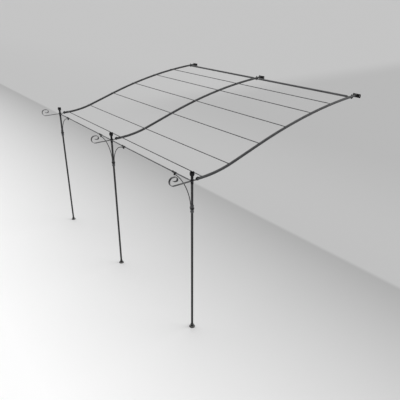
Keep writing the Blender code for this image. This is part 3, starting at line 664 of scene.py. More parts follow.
def along_rafter(distance):
    """Spot and heading at a distance from the rafter's front end, which may lie beyond its rear end."""
    here, heading = Vector((RAFTER_FRONT, rafter_z())), 0.0
    for length, degrees, radius in rafter_runs():
        part = min(distance, length)
        here, heading = advance(here, heading, part, degrees, radius)
        distance -= part
        if distance <= 0:
            return here, heading
    return advance(here, heading, distance, 0.0, 0.0)


def rafter_length():
    return sum(length for length, _, _ in rafter_runs())


def wall_bolt_station():
    return rafter_length() - WALL_BOLT_FROM_END


def across_rafter(distance, height):
    """A point at a height over the rafter's axis, square to its slope, in Y and Z."""
    here, slope = along_rafter(distance)
    return Vector((0, here.x - math.sin(slope) * height, here.y + math.cos(slope) * height)), slope


# Shader node groups

VECTOR_IN = ("Vector", "NodeSocketVector", (0.0, 0.0, 0.0))
COLOUR_IN = ("Colour", "NodeSocketColor", (0.5, 0.5, 0.5, 1.0))
AMOUNT_IN = ("Amount", "NodeSocketFloat", 0.3)
MASK_OUT = (("Mask", "NodeSocketFloat"),)
FINISH_OUT = (("Colour", "NodeSocketColor"), ("Roughness", "NodeSocketFloat"), ("Height", "NodeSocketFloat"))


def new_group(name, inputs, outputs):
    """A node group, with what comes into it and where it puts out."""
    group = bpy.data.node_groups.new(name, "ShaderNodeTree")
    for socket, kind, default in inputs:
        made = group.interface.new_socket(name=socket, in_out="INPUT", socket_type=kind)
        made.default_value = default
    for socket, kind in outputs:
        group.interface.new_socket(name=socket, in_out="OUTPUT", socket_type=kind)
    start = group.nodes.new("NodeGroupInput")
    end = group.nodes.new("NodeGroupOutput")
    return group, start.outputs, end.inputs


def linked(tree, inputs, sockets):
    """Links each socket to the input of the same key, and gives plain values to the inputs themselves."""
    for key, value in sockets.items():
        if isinstance(value, bpy.types.NodeSocket):
            tree.links.new(value, inputs[key])
        else:
            inputs[key].default_value = value


def add_node(tree, kind, sockets=None, **values):
    """A node with its settings and its inputs, each a value or a socket to link."""
    node = tree.nodes.new(kind)
    for key, value in values.items():
        setattr(node, key, value)
    linked(tree, node.inputs, sockets or {})
    return node.outputs


def object_place(tree):
    return add_node(tree, "ShaderNodeTexCoord")["Object"]


def true_normal(tree):
    return add_node(tree, "ShaderNodeNewGeometry")["Normal"]


def noise(tree, vector, scale, detail=2.0, roughness=0.5):
    sockets = {"Vector": vector, "Scale": scale, "Detail": detail, "Roughness": roughness}
    return add_node(tree, "ShaderNodeTexNoise", sockets)["Fac"]


def ranged(tree, value, low, high, to_low=0.0, to_high=1.0, kind="SMOOTHSTEP"):
    """A value's range from low to high, spread over another range and held there."""
    sockets = {"Value": value, "From Min": low, "From Max": high, "To Min": to_low, "To Max": to_high}
    return add_node(tree, "ShaderNodeMapRange", sockets, interpolation_type=kind)["Result"]


def math_of(tree, operation, first, second):
    return add_node(tree, "ShaderNodeMath", {0: first, 1: second}, operation=operation)[0]


def times(tree, first, second):
    return math_of(tree, "MULTIPLY", first, second)


def mixed(tree, factor, first, second, blend="MIX"):
    """A mix of two colours."""
    sockets = {0: factor, 6: first, 7: second}
    return add_node(tree, "ShaderNodeMix", sockets, data_type="RGBA", blend_type=blend)[2]


def tinted(tree, colour, tint):
    return mixed(tree, 1.0, colour, (*tint, 1.0), "MULTIPLY")


def grouped(tree, name, **sockets):
    """A node group placed in a material, with its inputs."""
    return add_node(tree, "ShaderNodeGroup", sockets, node_tree=bpy.data.node_groups[name])


def powder_coat_group():
    """Orange peel, a faint mottle and uneven gloss of a sprayed and baked powder."""
    own = (("Gloss", "NodeSocketFloat", 0.4), ("Peel Size", "NodeSocketFloat", 900.0))
    group, start, end = new_group("powder_coat", (VECTOR_IN, COLOUR_IN, *own), FINISH_OUT)
    vector = start["Vector"]
    mottle = noise(group, vector, scale=9.0, detail=4.0, roughness=0.6)
    fleck = noise(group, vector, scale=420.0, detail=1.0)
    light = tinted(group, start["Colour"], (1.35, 1.35, 1.36))
    dark = tinted(group, start["Colour"], (0.80, 0.80, 0.81))
    body = mixed(group, ranged(group, mottle, 0.35, 0.65), dark, light)
    bright = tinted(group, body, (1.5, 1.5, 1.5))
    colour = mixed(group, ranged(group, fleck, 0.60, 0.75, 0.0, 0.5), body, bright)
    uneven = ranged(group, noise(group, vector, scale=35.0, detail=3.0), 0.3, 0.7, -0.06, 0.08)
    rough = math_of(group, "ADD", start["Gloss"], uneven)
    peel = noise(group, vector, start["Peel Size"], detail=1.5, roughness=0.4)
    linked(group, end, {"Colour": colour, "Roughness": rough, "Height": peel})


def dust_and_top_highlight_group():
    """A mask of pale dust on faces that look up, in soft patches; it also paints their tops lighter, a
    painted highlight of the light from above.
    """
    group, start, end = new_group("dust_and_top_highlight", (VECTOR_IN, AMOUNT_IN), MASK_OUT)
    up = add_node(group, "ShaderNodeSeparateXYZ", {"Vector": true_normal(group)})["Z"]
    facing = ranged(group, up, 0.35, 1.0)
    cloud = noise(group, start["Vector"], scale=14.0, detail=5.0, roughness=0.65)
    patches = ranged(group, cloud, 0.3, 0.75, 0.35, 1.0)
    linked(group, end, {"Mask": times(group, times(group, facing, patches), start["Amount"])})


def run_marks_group():
    """A mask of fine streaks that rain leaves down a piece, long along Z."""
    group, start, end = new_group("run_marks", (VECTOR_IN, AMOUNT_IN), MASK_OUT)
    sockets = {"Vector": start["Vector"], "Scale": (170.0, 170.0, 3.5)}
    stretched = add_node(group, "ShaderNodeMapping", sockets)["Vector"]
    streaks = ranged(group, noise(group, stretched, scale=1.0, detail=3.0, roughness=0.6), 0.52, 0.72)
    breaks = ranged(group, noise(group, start["Vector"], scale=5.0, detail=3.0), 0.4, 0.65)
    linked(group, end, {"Mask": times(group, times(group, streaks, breaks), start["Amount"])})


def steel_wear_group():
    """Blackened steel: rubbed patches, fine turning marks and uneven gloss."""
    group, start, end = new_group("blackened_steel", (VECTOR_IN, COLOUR_IN), FINISH_OUT)
    vector = start["Vector"]
    rubbed = ranged(group, noise(group, vector, scale=210.0, detail=4.0, roughness=0.6), 0.55, 0.75)
    pale = tinted(group, start["Colour"], (2.6, 2.6, 2.7))
    colour = mixed(group, rubbed, start["Colour"], pale)
    rough = ranged(group, noise(group, vector, scale=600.0), 0.3, 0.7, 0.30, 0.48)
    linked(group, end, {"Colour": colour, "Roughness": rough, "Height": noise(group, vector, scale=1500.0)})


# Materials


def new_material(name, colour):
    made = bpy.data.materials.new(name)
    made.use_nodes = True
    made.diffuse_color = colour
    tree = made.node_tree
    return made, tree, tree.nodes["Principled BSDF"].inputs


def bumped(tree, height, distance, strength):
    sockets = {"Height": height, "Distance": distance, "Strength": strength}
    return add_node(tree, "ShaderNodeBump", sockets)["Normal"]


def coat_material(name, colour, gloss, dust_and_highlight_amount=0.25, marks=0.0, edge=0.5, shine=0.5):
    """Powder coat on steel, with dust and a painted highlight on what looks up, rain marks and edges rubbed
    thin.
    """
    _, tree, shader = new_material(name, colour)
    where = object_place(tree)
    coat = grouped(tree, "powder_coat", Vector=where, Colour=colour, Gloss=gloss)
    dust_and_highlight_mask = grouped(tree, "dust_and_top_highlight", Vector=where, Amount=dust_and_highlight_amount)["Mask"]
    streaks = grouped(tree, "run_marks", Vector=where, Amount=marks)["Mask"]
    thin = (*(channel * RUBBED_LIGHTER for channel in colour[:3]), 1.0)
    worn = mixed(tree, times(tree, edge_mask(tree, where), edge), coat["Colour"], thin)
    # Pale dust on faces that look up, which also paints a highlight on their tops
    with_dust_and_highlight = mixed(tree, dust_and_highlight_mask, mixed(tree, streaks, worn, MARK_COLOUR), DUST_AND_HIGHLIGHT_TINT)
    dull = math_of(tree, "ADD", coat["Roughness"], times(tree, dust_and_highlight_mask, DUST_DULLS))
    sockets = {"Base Color": with_dust_and_highlight, "Roughness": dull, "IOR": COAT_IOR, "Specular IOR Level": shine}
    linked(tree, shader, sockets)
    linked(tree, shader, {"Normal": bumped(tree, coat["Height"], distance=0.00025, strength=0.22)})


def edge_mask(tree, where):
    """Where the surface turns sharply: the bevelled normal leaves the true one, broken up by noise."""
    soft = add_node(tree, "ShaderNodeBevel", {"Radius": EDGE_WIDTH}, samples=6)["Normal"]
    sockets = {0: soft, 1: true_normal(tree)}
    same = add_node(tree, "ShaderNodeVectorMath", sockets, operation="DOT_PRODUCT")["Value"]
    broken = ranged(tree, noise(tree, where, scale=160.0, detail=3.0), 0.35, 0.6)
    return times(tree, ranged(tree, same, 0.985, 0.88), broken)


def steel_material(name, colour):
    _, tree, shader = new_material(name, colour)
    steel = grouped(tree, "blackened_steel", Vector=object_place(tree), Colour=colour)
    sockets = {"Base Color": steel["Colour"], "Roughness": steel["Roughness"]}
    linked(tree, shader, {**sockets, "Metallic": 0.4, "Specular IOR Level": 0.15})
    linked(tree, shader, {"Normal": bumped(tree, steel["Height"], distance=0.00012, strength=0.25)})


# Bars with ends pressed flat


def squash(obj, centre, thin, flat_at, thickness, keep):
    """One step from round to flat on the selected ring about its centre.

    `thin` is the axis that the press closes, 0, 1 or 2, and `flat_at` the tab's middle on it. `keep` is the
    share of roundness left from the last step.
    """
    halves = {1: [], -1: [], 0: []}
    for vert in bmesh.from_edit_mesh(obj.data).verts:
        if vert.select:
            off = vert.co[thin] - centre[thin]
            halves[(off > NEAR) - (off < -NEAR)].append(vert.index)
    factors = [1.0, 1.0, 1.0]
    factors[thin] = keep
    for side, members in halves.items():
        if members:
            bpy.ops.mesh.select_all(action="DESELECT")
            choose(obj, members)
            goal = Vector(centre)
            goal[thin] = flat_at + side * thickness / 2
            resize(goal, factors)
    choose(obj, sum(halves.values(), []))


def pressing(round_r, width):
    """Over the steps of a press, the share of roundness that each keeps and how much wider it gets."""
    last_keep, last_wide = 1.0, 1.0
    for step in range(1, PRESS_STEPS + 1):
        t = step / PRESS_STEPS
        share = t * t * (3 - 2 * t)
        keep, wide = 1 - share, 1 + (width / 2 / round_r - 1) * share
        yield keep / last_keep, wide / last_wide
        last_keep, last_wide = keep, wide


def pressed_end(obj, x, way, round_r, tab, tab_z, hole_x):
    """Draws the selected ring out along X: a neck, a flat tab and its rounded end."""
    middle = 0.0
    for keep, widen in pressing(round_r, tab.width):
        draw_out((way * tab.neck / PRESS_STEPS, 0, 0))
        x += way * tab.neck / PRESS_STEPS
        squash(obj, (x, 0, middle), 2, tab_z, tab.thickness, keep)
        middle = tab_z + (middle - tab_z) * keep
        resize((x, 0, middle), (1.0, widen, 1.0))
    nose_x = hole_x + way * (tab.end - tab.width / 2)
    draw_out((nose_x - x, 0, 0))
    rounded_nose(X_AXIS * way, (nose_x, 0, tab_z), tab.width / 2, 1)


def rounded_nose(direction, centre, radius, wide_axis):
    """Draws the selected flat ring out into a half-round end."""
    last, travel = 1.0, 0.0
    for step in range(1, NOSE_STEPS + 1):
        turn = math.pi / 2 * step / (NOSE_STEPS + NOSE_FLAT)
        go, wide = radius * math.sin(turn), math.cos(turn)
        draw_out(direction * (go - travel))
        factors = [1.0, 1.0, 1.0]
        factors[wide_axis] = wide / last
        resize(Vector(centre) + direction * go, factors)
        last, travel = wide, go
    bpy.ops.mesh.edge_face_add()


def pressed_bar(name, round_d, tab, heights, sides):
    """Round stock along X over one bay, pressed flat at its ends; heights are the tabs' middles in Z."""
    radius = round_d / 2
    first, last = tab.reach + tab.neck, BAY - tab.reach - tab.neck
    obj = open_ring(name, radius, sides, (first, 0, 0), X_AXIS)
    draw_out((last - first, 0, 0))
    pressed_end(obj, last, 1, radius, tab, heights[1], BAY)
    pick(obj, lambda co: abs(co.x - first) < NEAR)
    pressed_end(obj, first, -1, radius, tab, heights[0], 0.0)
    settle(obj)
    return obj


# Bolts


def hexagon(name, flats, low, high, dome=0.0):
    """A hexagonal head or nut along Z with its corners turned off, and a dome on top if it has one."""
    across, limit = flats / math.sqrt(3), flats / 2
    head = bar(across, (0, 0, low), (0, 0, high), sides=6)
    over, spare, rise = across * 1.1, 0.001, (across - limit) * 0.6
    profile = [(0, low - spare), (over, low - spare), (over, high - rise - 0.0004)]
    profile += [(limit * 0.98, high - 0.00005), (limit * 0.90, high + spare), (0, high + spare)]
    combined(head, turned("turning", profile, sides=48), "INTERSECT")
    named(head, name)
    shade(head, angle=20.0)
    if not dome:
        return head
    wide, sunk = limit * 0.86, high - spare
    profile = [(0, high + dome)] + arc((0, high), (wide, dome), 80, 0, 9) + [(wide, sunk), (0, sunk)]
    return joined([head, turned("dome", profile)], name)


def bolt(name, size, low, high, nut):
    """A bolt along Z: washer and head over `high`, shank, and a nut below `low` if it has one."""
    top = high + size.washer_t
    parts = [hexagon(name, size.flats, top, top + size.head, size.dome)]
    if size.washer_r:
        edge = size.washer_t * 0.3
        flat = size.washer_r - edge
        ring = [(0, high), (flat, high), (size.washer_r, high + edge), (size.washer_r, top - edge)]
        parts.append(turned("washer", ring + [(flat, top), (0, top)]))
    tip, point = low - (size.head if nut else 0), 0.0006
    profile = [(0, high), (size.shank, high), (size.shank, tip + point), (size.shank - point, tip), (0, tip)]
    parts.append(turned("shank", profile, sides=32))
    if nut:
        parts.append(hexagon("nut", size.flats, low - size.head, low))
    return joined(parts, name)


# Pieces


def brace_holes(brace_sides, first, last):
    """Holes for the brace bolts on these sides, between two distances from the post's axis."""
    z, radius = collar_z(), BRACE_BOLT.shank + GAP
    return [(radius, (side * first, 0, z), (side * last, 0, z)) for side in brace_sides]


def post_tube(sizes, brace_sides):
    low, high = (corner.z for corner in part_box("post_middle"))
    obj = open_ring("post", sizes.post_d / 2, sizes.facets, (0, 0, low), Z_AXIS)
    draw_out((0, 0, high - low))
    settle(obj)
    walled(obj, POST_WALL)
    drilled(obj, brace_holes(brace_sides, *HOLE_IN_POST))
    return softened(obj, width=0.0003, segments=2, angle=60.0)


def foot_piece(sizes):
    bore, edge = sizes.post_d / 2 + GAP, 0.0008
    socket_round, rim_round = 0.002, 0.0012
    profile = [(0, FOOT_FLOOR), (bore, FOOT_FLOOR), (bore, FOOT_HEIGHT - edge), (bore + edge, FOOT_HEIGHT)]
    profile += rounding(FOOT_SOCKET_R, FOOT_HEIGHT, socket_round, 90, 0, 6)
    fillet = (FOOT_FILLET, FOOT_FILLET)
    profile += arc((FOOT_SOCKET_R + FOOT_FILLET, FOOT_DOME + FOOT_FILLET), fillet, 180, 262, 8)
    dome = (FOOT_R - FOOT_SOCKET_R, FOOT_DOME - FOOT_RIM)
    profile += arc((FOOT_SOCKET_R, FOOT_RIM), dome, 80, 6, 16)
    profile += rounding(FOOT_R, FOOT_RIM, rim_round, 45, 0, 3)
    profile += [(FOOT_R, edge), (FOOT_R - edge, 0), (0, 0)]
    obj = turned("foot", profile, sides=72)
    ring = (FOOT_SOCKET_R + FOOT_R) / 2
    low, high = FOOT_SINK
    for i in range(FOOT_HOLES):
        turn = math.radians(FOOT_HOLE_START + 360 / FOOT_HOLES * i)
        x, y = ring * math.cos(turn), ring * math.sin(turn)
        combined(obj, bar(FOOT_HOLE_R, (x, y, -0.01), (x, y, 0.03)), "DIFFERENCE")
        sink = bar(FOOT_HOLE_R * 0.9, (x, y, low), (x, y, high), end_radius=FOOT_SINK_R * 1.25)
        combined(obj, sink, "DIFFERENCE")
    shade(obj)
    return obj


def collar_sleeve(sizes, brace_sides):
    """The turned sleeve: rounded shoulder, waists beside the large ring, and a bell below."""
    bore, edge = sizes.post_d / 2 + GAP, 0.0006
    body, ring = COLLAR_BODY_R, COLLAR_RING_R
    z = collar_z()
    top, bottom = z + COLLAR_ABOVE, z - COLLAR_BELOW
    shoulder, bead_half, bell_h, bell_round = 0.003, 0.006, 0.013, 0.002
    flare, upper, lower = (z + station for station in COLLAR_BELL)
    profile = [(bore, top - edge), (bore + edge, top)]
    profile += rounding(body, top, shoulder, 90, 0, 6)
    profile += [(body, z + COLLAR_BEAD + 0.0075)]
    profile += arc((body, z + COLLAR_BEAD), (ring - body, bead_half), 90, -90, 14)
    profile += [(body, z + station) for station in COLLAR_WAIST]
    profile += arc((ring + 0.0001, flare), (ring - body, bell_h), 180, 265, 10)
    profile += arc((ring - bell_round, upper), (bell_round, bell_round), 75, 0, 4)
    profile += arc((ring - bell_round, lower), (bell_round, bell_round), 0, -60, 4)
    profile += [(body + 0.0008, bottom + 0.006), (body, bottom + 0.001), (body - 0.001, bottom)]
    profile += [(bore + edge, bottom), (bore, bottom + edge)]
    profile.append(profile[0])
    return drilled(turned("collar", profile, sides=72), brace_holes(brace_sides, *HOLE_IN_COLLAR))


def collar_ring(brace_sides):
    """The large ring shrunk on the sleeve, with a hole for each brace's bolt."""
    z, inside = collar_z(), COLLAR_BODY_R + 0.0001
    rim, flank = (0.0035, 0.0042), 0.0055
    edge, step, chamfer = COLLAR_R - rim[0], 0.0013, 0.0015
    half = COLLAR_RING_HALF
    profile = [(inside, z + half - step), (inside + chamfer, z + half)]
    profile += arc((edge, z + flank), rim, 70, 0, 8)
    profile += arc((edge, z - flank), rim, 0, -70, 8)
    profile += [(inside + chamfer, z - half), (inside, z - half + step), (inside, z + half - step)]
    return drilled(turned("collar_ring", profile, sides=72), brace_holes(brace_sides, *HOLE_IN_COLLAR))


def head_piece(node):
    """Plug, boss and stud, as tall as the node says."""
    low_z, high_z = (corner.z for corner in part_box(node))
    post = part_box("post_middle")[1]
    low, top, shoulder = post.z + GAP, head_top(node), post.x
    plug = shoulder - POST_WALL - GAP
    tip, boss_round, boss_low = 0.001, 0.002, low + 0.006
    profile = [(0, high_z), (STUD_R - tip, high_z), (STUD_R, high_z - tip), (STUD_R, top)]
    profile += rounding(HEAD_R, top, boss_round, 90, 0, 8)
    profile += [(HEAD_R, boss_low + 0.001)]
    profile += arc((shoulder, boss_low), (HEAD_R - shoulder, 0.006), 0, -85, 6)
    profile += [(shoulder - 0.0003, low), (plug, low), (plug, low_z + 0.002), (plug - 0.002, low_z)]
    profile += [(0, low_z)]
    return turned(node, profile, sides=72)


def head_top(node):
    """Height of the boss's top: the widest part of the node ends there."""
    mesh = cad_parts[node].data
    low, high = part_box(node)
    centre = (low.x + high.x) / 2
    return max(v.co.z for v in mesh.vertices if math.hypot(v.co.x - centre, v.co.y) > STUD_R * 1.5)


def finial_piece():
    """A turned stem with a bead, and a tulip whose rim is scooped into four petals."""
    base = finial_z()
    flange, bead_low = base + FLANGE_H, base + STEM_H
    neck = bead_low + BEAD_H
    top = neck + CUP_H
    bore, edge, flare = STUD_R + GAP, 0.0008, FLANGE_R - STEM_R - 0.0008
    profile = [(0, base + FINIAL_BORE), (bore, base + FINIAL_BORE), (bore, base), (FLANGE_R - edge, base)]
    profile += arc((FLANGE_R - 0.0018, base + 0.0020), (0.0018, 0.0018), -50, 0, 5)
    profile += rounding(FLANGE_R, flange, 0.0025, 0, 75, 7)
    profile += arc((STEM_R + flare, flange + FLARE_H), (flare, FLARE_H), 262, 180, 12)
    profile += [(STEM_R - 0.0002, bead_low - 0.001)]
    bead = (BEAD_R - STEM_R + 0.001, BEAD_H / 2)
    profile += arc((STEM_R - 0.001, bead_low + BEAD_H / 2), bead, -80, 80, 18)
    profile += [(NECK_R, neck + 0.001)]
    profile += cup_side(CUP_OUTSIDE, neck, 0.0)
    profile += arc((CUP_OUTSIDE[-1][0] * CUP_R - 0.0012, top), (0.0012, 0.0009), 0, 180, 6)
    profile += cup_side(CUP_INSIDE, neck, CUP_WALL)[1:]
    obj = turned("finial", list(reversed(profile)), sides=72)
    reach = PETAL_REACH * CUP_R * math.sin(math.radians(45))
    scoop = (reach**2 + PETAL_DEPTH**2) / (2 * PETAL_DEPTH)
    up = Vector((0, 0, top - PETAL_DEPTH + scoop))
    for turn in (math.radians(45), math.radians(135)):
        end = Vector((math.cos(turn), math.sin(turn), 0)) * (CUP_R + 0.01)
        combined(obj, bar(scoop, up - end, up + end, sides=96), "DIFFERENCE")
    return softened(obj, width=0.0005, segments=2, angle=45.0)


def cup_side(shape, neck, inset):
    """The tulip's outside or inside, as a soft line through its stations."""
    return smooth_line([(max(CUP_R * r - inset, 0.0), neck + CUP_H * z) for r, z in shape], 6)


def smooth_line(points, steps):
    """A soft line through points of (radius, z)."""
    made = []
    ends = [points[0]] + list(points) + [points[-1]]
    for i in range(1, len(ends) - 2):
        p0, p1, p2, p3 = (Vector(p) for p in ends[i - 1 : i + 3])
        for step in range(steps):
            t = step / steps
            a = 2 * p1 + (p2 - p0) * t
            b = (2 * p0 - 5 * p1 + 4 * p2 - p3) * t * t
            c = (3 * p1 - p0 - 3 * p2 + p3) * t**3
            spot = (a + b + c) / 2
            made.append((max(spot.x, 0.0), spot.y))
    made.append(points[-1])
    return made


def strap_piece():
    """Flat bar: the tongue for the rafter, a level run over the post, and the curl."""
    z = strap_z()
    start, shoulder = RAFTER_FRONT + TONGUE_LENGTH, RAFTER_FRONT - SHOULDER_GAP
    obj = open_sheet("strap", (TONGUE_WIDTH, STRAP_T), (0, start, z), (math.pi / 2, 0, 0))
    draw_out((0, shoulder - start, 0))
    draw_out((0, 0, 0))
    resize((0, shoulder, z), (STRAP_WIDTH / TONGUE_WIDTH, 1.0, 1.0))
    here, heading = Vector((-SCROLL_REACH, z)), math.pi
    draw_out((0, here.x - shoulder, 0))
    for radius, degrees, run in SCROLL_BENDS:
        centre = bend_centre(here, heading, -degrees, radius)
        swing((0, centre.x, centre.y), X_AXIS, -degrees, max(8, round(degrees / 5)))
        here, heading = advance(here, heading, radius * math.radians(degrees), -degrees, radius)
        if run:
            here, heading = advance(here, heading, run, 0.0, 0.0)
            draw_out((0, math.cos(heading) * run, math.sin(heading) * run))
    settle(obj)
    for radius, y in ((STUD_R, 0.0), (BRACE_BOLT.shank, RAFTER_FRONT + TONGUE_BOLT)):
        drilled(obj, [(radius + GAP, (0, y, z - 0.01), (0, y, z + 0.01))])
    return softened(obj, width=0.0009, segments=3, angle=50.0)


def rafter_tube(sizes):
    """A round tube with a long bend near the front and an easy one towards the wall."""
    here, heading = Vector((RAFTER_FRONT, rafter_z())), 0.0
    obj = open_ring("rafter", sizes.rafter_d / 2, sizes.facets, (0, here.x, here.y), Y_AXIS)
    for length, degrees, bend_r in rafter_runs():
        if degrees:
            centre = bend_centre(here, heading, degrees, bend_r)
            swing((0, centre.x, centre.y), X_AXIS, degrees, max(10, round(abs(degrees) / 1.2)))
        else:
            draw_out((0, math.cos(heading) * length, math.sin(heading) * length))
        here, heading = advance(here, heading, length, degrees, bend_r)
    settle(obj)
    walled(obj, RAFTER_WALL)
    through = ((TONGUE_BOLT, BRACE_BOLT.shank), (wall_bolt_station(), LARGE_BOLT.shank))
    holes = [rafter_hole(sizes, station, radius, -sizes.rafter_d) for station, radius in through]
    holes += [rafter_hole(sizes, station, PURLIN_SCREW.shank, 0.0) for station in PURLIN_STATIONS]
    drilled(obj, holes)
    return softened(obj, width=0.0003, segments=2, angle=60.0)


def rafter_hole(sizes, station, radius, low):
    """A hole for a shank across the rafter at a station, from a height about its axis to over its top."""
    return radius + GAP, across_rafter(station, low)[0], across_rafter(station, sizes.rafter_d)[0]


def saddle_washer(sizes):
    """A curved washer that hugs the top of the rafter's front end under its bolt."""
    radius = sizes.rafter_d / 2 + GAP
    thick, start = FRONT_BOLT.washer_t, math.radians(-SADDLE_SPREAD / 2)
    spot = Vector((math.sin(start), 0, math.cos(start))) * (radius + thick / 2)
    obj = open_sheet("saddle", (thick, SADDLE_LENGTH), spot, (0, math.pi / 2 + start, 0))
    swing((0, 0, 0), Y_AXIS, SADDLE_SPREAD, steps=24)
    settle(obj)
    drilled(obj, [(FRONT_BOLT.shank + GAP, (0, 0, radius - 0.005), (0, 0, radius + 0.01))])
    return softened(obj, width=0.0004, segments=2, angle=50.0)


def brace_turn(distance):
    """The angle in the brace's quarter bend at a distance from the bar's lower end."""
    return math.degrees((distance - BRACE_LOW_END) / BRACE_R)


def brace_spot(centre, degrees):
    """The point of the quarter bend at an angle."""
    turn = math.radians(degrees)
    return centre + Vector((-math.cos(turn), 0, math.sin(turn))) * BRACE_R


def brace_foot():
    """X from the post's axis to the middle of a brace's lower tab."""
    return COLLAR_R + GAP + BRACE_TAB / 2


def brace_bar(sizes):
    """Round bar in a quarter bend, pressed flat against the collar below and in the clamp above."""
    round_r, foot_x, z = sizes.brace_d / 2, brace_foot(), collar_z()
    centre = Vector((foot_x + BRACE_R, 0, z))
    first = brace_turn(BRACE_LOW_TAB + BRACE_NECK)
    last = 90.0 - math.degrees((BRACE_TOP_TAB + BRACE_NECK - BRACE_TOP_RUN) / BRACE_R)
    start, turn = brace_spot(centre, first), math.radians(first)
    obj = open_ring("brace", round_r, BRACE_FACETS, start, (math.sin(turn), 0, math.cos(turn)))
    swing(centre, Y_AXIS, last - first, steps=24)
    # The upper end: pressed thin across the bar's own plane
    flatten_along(obj, centre, last, 1, round_r, 1, 2, BRACE_TOP_WIDTH)
    swing(centre, Y_AXIS, math.degrees((BRACE_TOP_TAB - BRACE_TOP_RUN) / BRACE_R), steps=3)
    nose = BRACE_TOP_WIDTH / 2
    draw_out((BRACE_TOP_RUN - nose, 0, 0))
    rounded_nose(X_AXIS, brace_spot(centre, 90.0) + X_AXIS * (BRACE_TOP_RUN - nose), nose, 2)
    # The lower end: pressed thin towards the post
    pick(obj, lambda co: (co - start).length < round_r * 1.05)
    flatten_along(obj, centre, first, -1, round_r, 0, 1, BRACE_TAB_WIDTH)
    swing(centre, Y_AXIS, -brace_turn(BRACE_LOW_TAB), steps=2)
    nose = BRACE_TAB_WIDTH / 2
    draw_out((0, 0, -(BRACE_LOW_END - nose)))
    rounded_nose(-Z_AXIS, (foot_x, 0, z - BRACE_LOW_END + nose), nose, 1)
    settle(obj)
    clamp_x, clamp_z = clamp_place()
    drilled(obj, [(BRACE_BOLT.shank + GAP, (foot_x - 0.01, 0, z), (foot_x + 0.01, 0, z))])
    drilled(obj, [(CLAMP_BOLT.shank + GAP, (clamp_x, -0.01, clamp_z), (clamp_x, 0.01, clamp_z))])
    return obj


def flatten_along(obj, centre, degrees, way, round_r, thin, wide, width):
    """Presses the selected ring from round to flat over short steps of the bend, upwards or downwards."""
    turn = math.degrees(way * BRACE_NECK / PRESS_STEPS / BRACE_R)
    for keep, widen in pressing(round_r, width):
        swing(centre, Y_AXIS, turn, steps=1)
        degrees += turn
        here = brace_spot(centre, degrees)
        squash(obj, here, thin, here[thin], BRACE_TAB, keep)
        factors = [1.0, 1.0, 1.0]
        factors[wide] = widen
        resize(here, factors)


def clamp_place():
    """X from the post's axis and height of a clamp's bolt."""
    return brace_foot() + BRACE_R + BRACE_LOW_END / 2, beam_z() - CLAMP_BOLT_DROP


def clamp_band(sizes):
    """A band round the beam whose ears come together below it; along X, about the beam's axis."""
    half, over = CLAMP_WIDTH / 2, CLAMP_WIDTH / 2 * 1.2
    inner = (sizes.beam_d / 2 + GAP) / math.cos(math.pi / CLAMP_FACETS)
    outer = inner + CLAMP_T
    near = BRACE_TAB / 2 + GAP
    far = near + CLAMP_T
    low = -CLAMP_BOLT_DROP - CLAMP_EAR_END
    band = named(bar(outer, (-half, 0, 0), (half, 0, 0), sides=48), "clamp")
    combined(band, slab((-half, -far, low), (half, far, -inner * 0.6)), "UNION")
    combined(band, bar(inner, (-over, 0, 0), (over, 0, 0), sides=48), "DIFFERENCE")
    combined(band, slab((-over, -near, low - 0.01), (over, near, -inner * 0.5)), "DIFFERENCE")

    def across_an_ear(a, b):
        across = abs(a.y - b.y) > CLAMP_T * 0.5 and abs(a.x - b.x) < MERGE
        return across and abs(a.z - low) < NEAR and abs(b.z - low) < NEAR

    edit(band)
    rounded_corners(band, across_an_ear, CLAMP_EAR_CORNER, segments=5)
    bpy.ops.object.mode_set(mode="OBJECT")
    return softened(band, width=0.0004, segments=2, angle=40.0)


def lying(model, name, place, turn):
    """A piece that was modelled upright, laid in its place; the upright one is removed."""
    made = copied(model, name, place, turn)
    removed(model)
    return made


def clamp_bolt():
    """The clamp's cross bolt along Y, below the beam's axis."""
    far = BRACE_TAB / 2 + GAP + CLAMP_T
    upright = bolt("clamp_bolt", CLAMP_BOLT, -far, far, True)
    return lying(upright, "clamp_bolt", (0, 0, -CLAMP_BOLT_DROP), (math.pi / 2, 0, 0))


def stop_ring(sizes):
    """A narrow ring round the beam at one side of a clamp, which keeps it from sliding."""
    near, far, thick = STOP_RING
    inside, middle = sizes.beam_d / 2 + GAP / 2, (near + far) / 2
    outside, half = inside + thick, (far - near) / 2
    soft = thick * 0.45
    profile = [(inside, -half), (outside - soft, -half)]
    profile += arc((outside - soft, -half + soft), (soft, soft), -90, 0, 6)
    profile += rounding(outside, half, soft, 0, 90, 6)
    profile += [(inside, half), (inside, -half)]
    return lying(turned("stop_ring", profile, sides=48), "stop_ring", (middle, 0, 0), (0, math.pi / 2, 0))


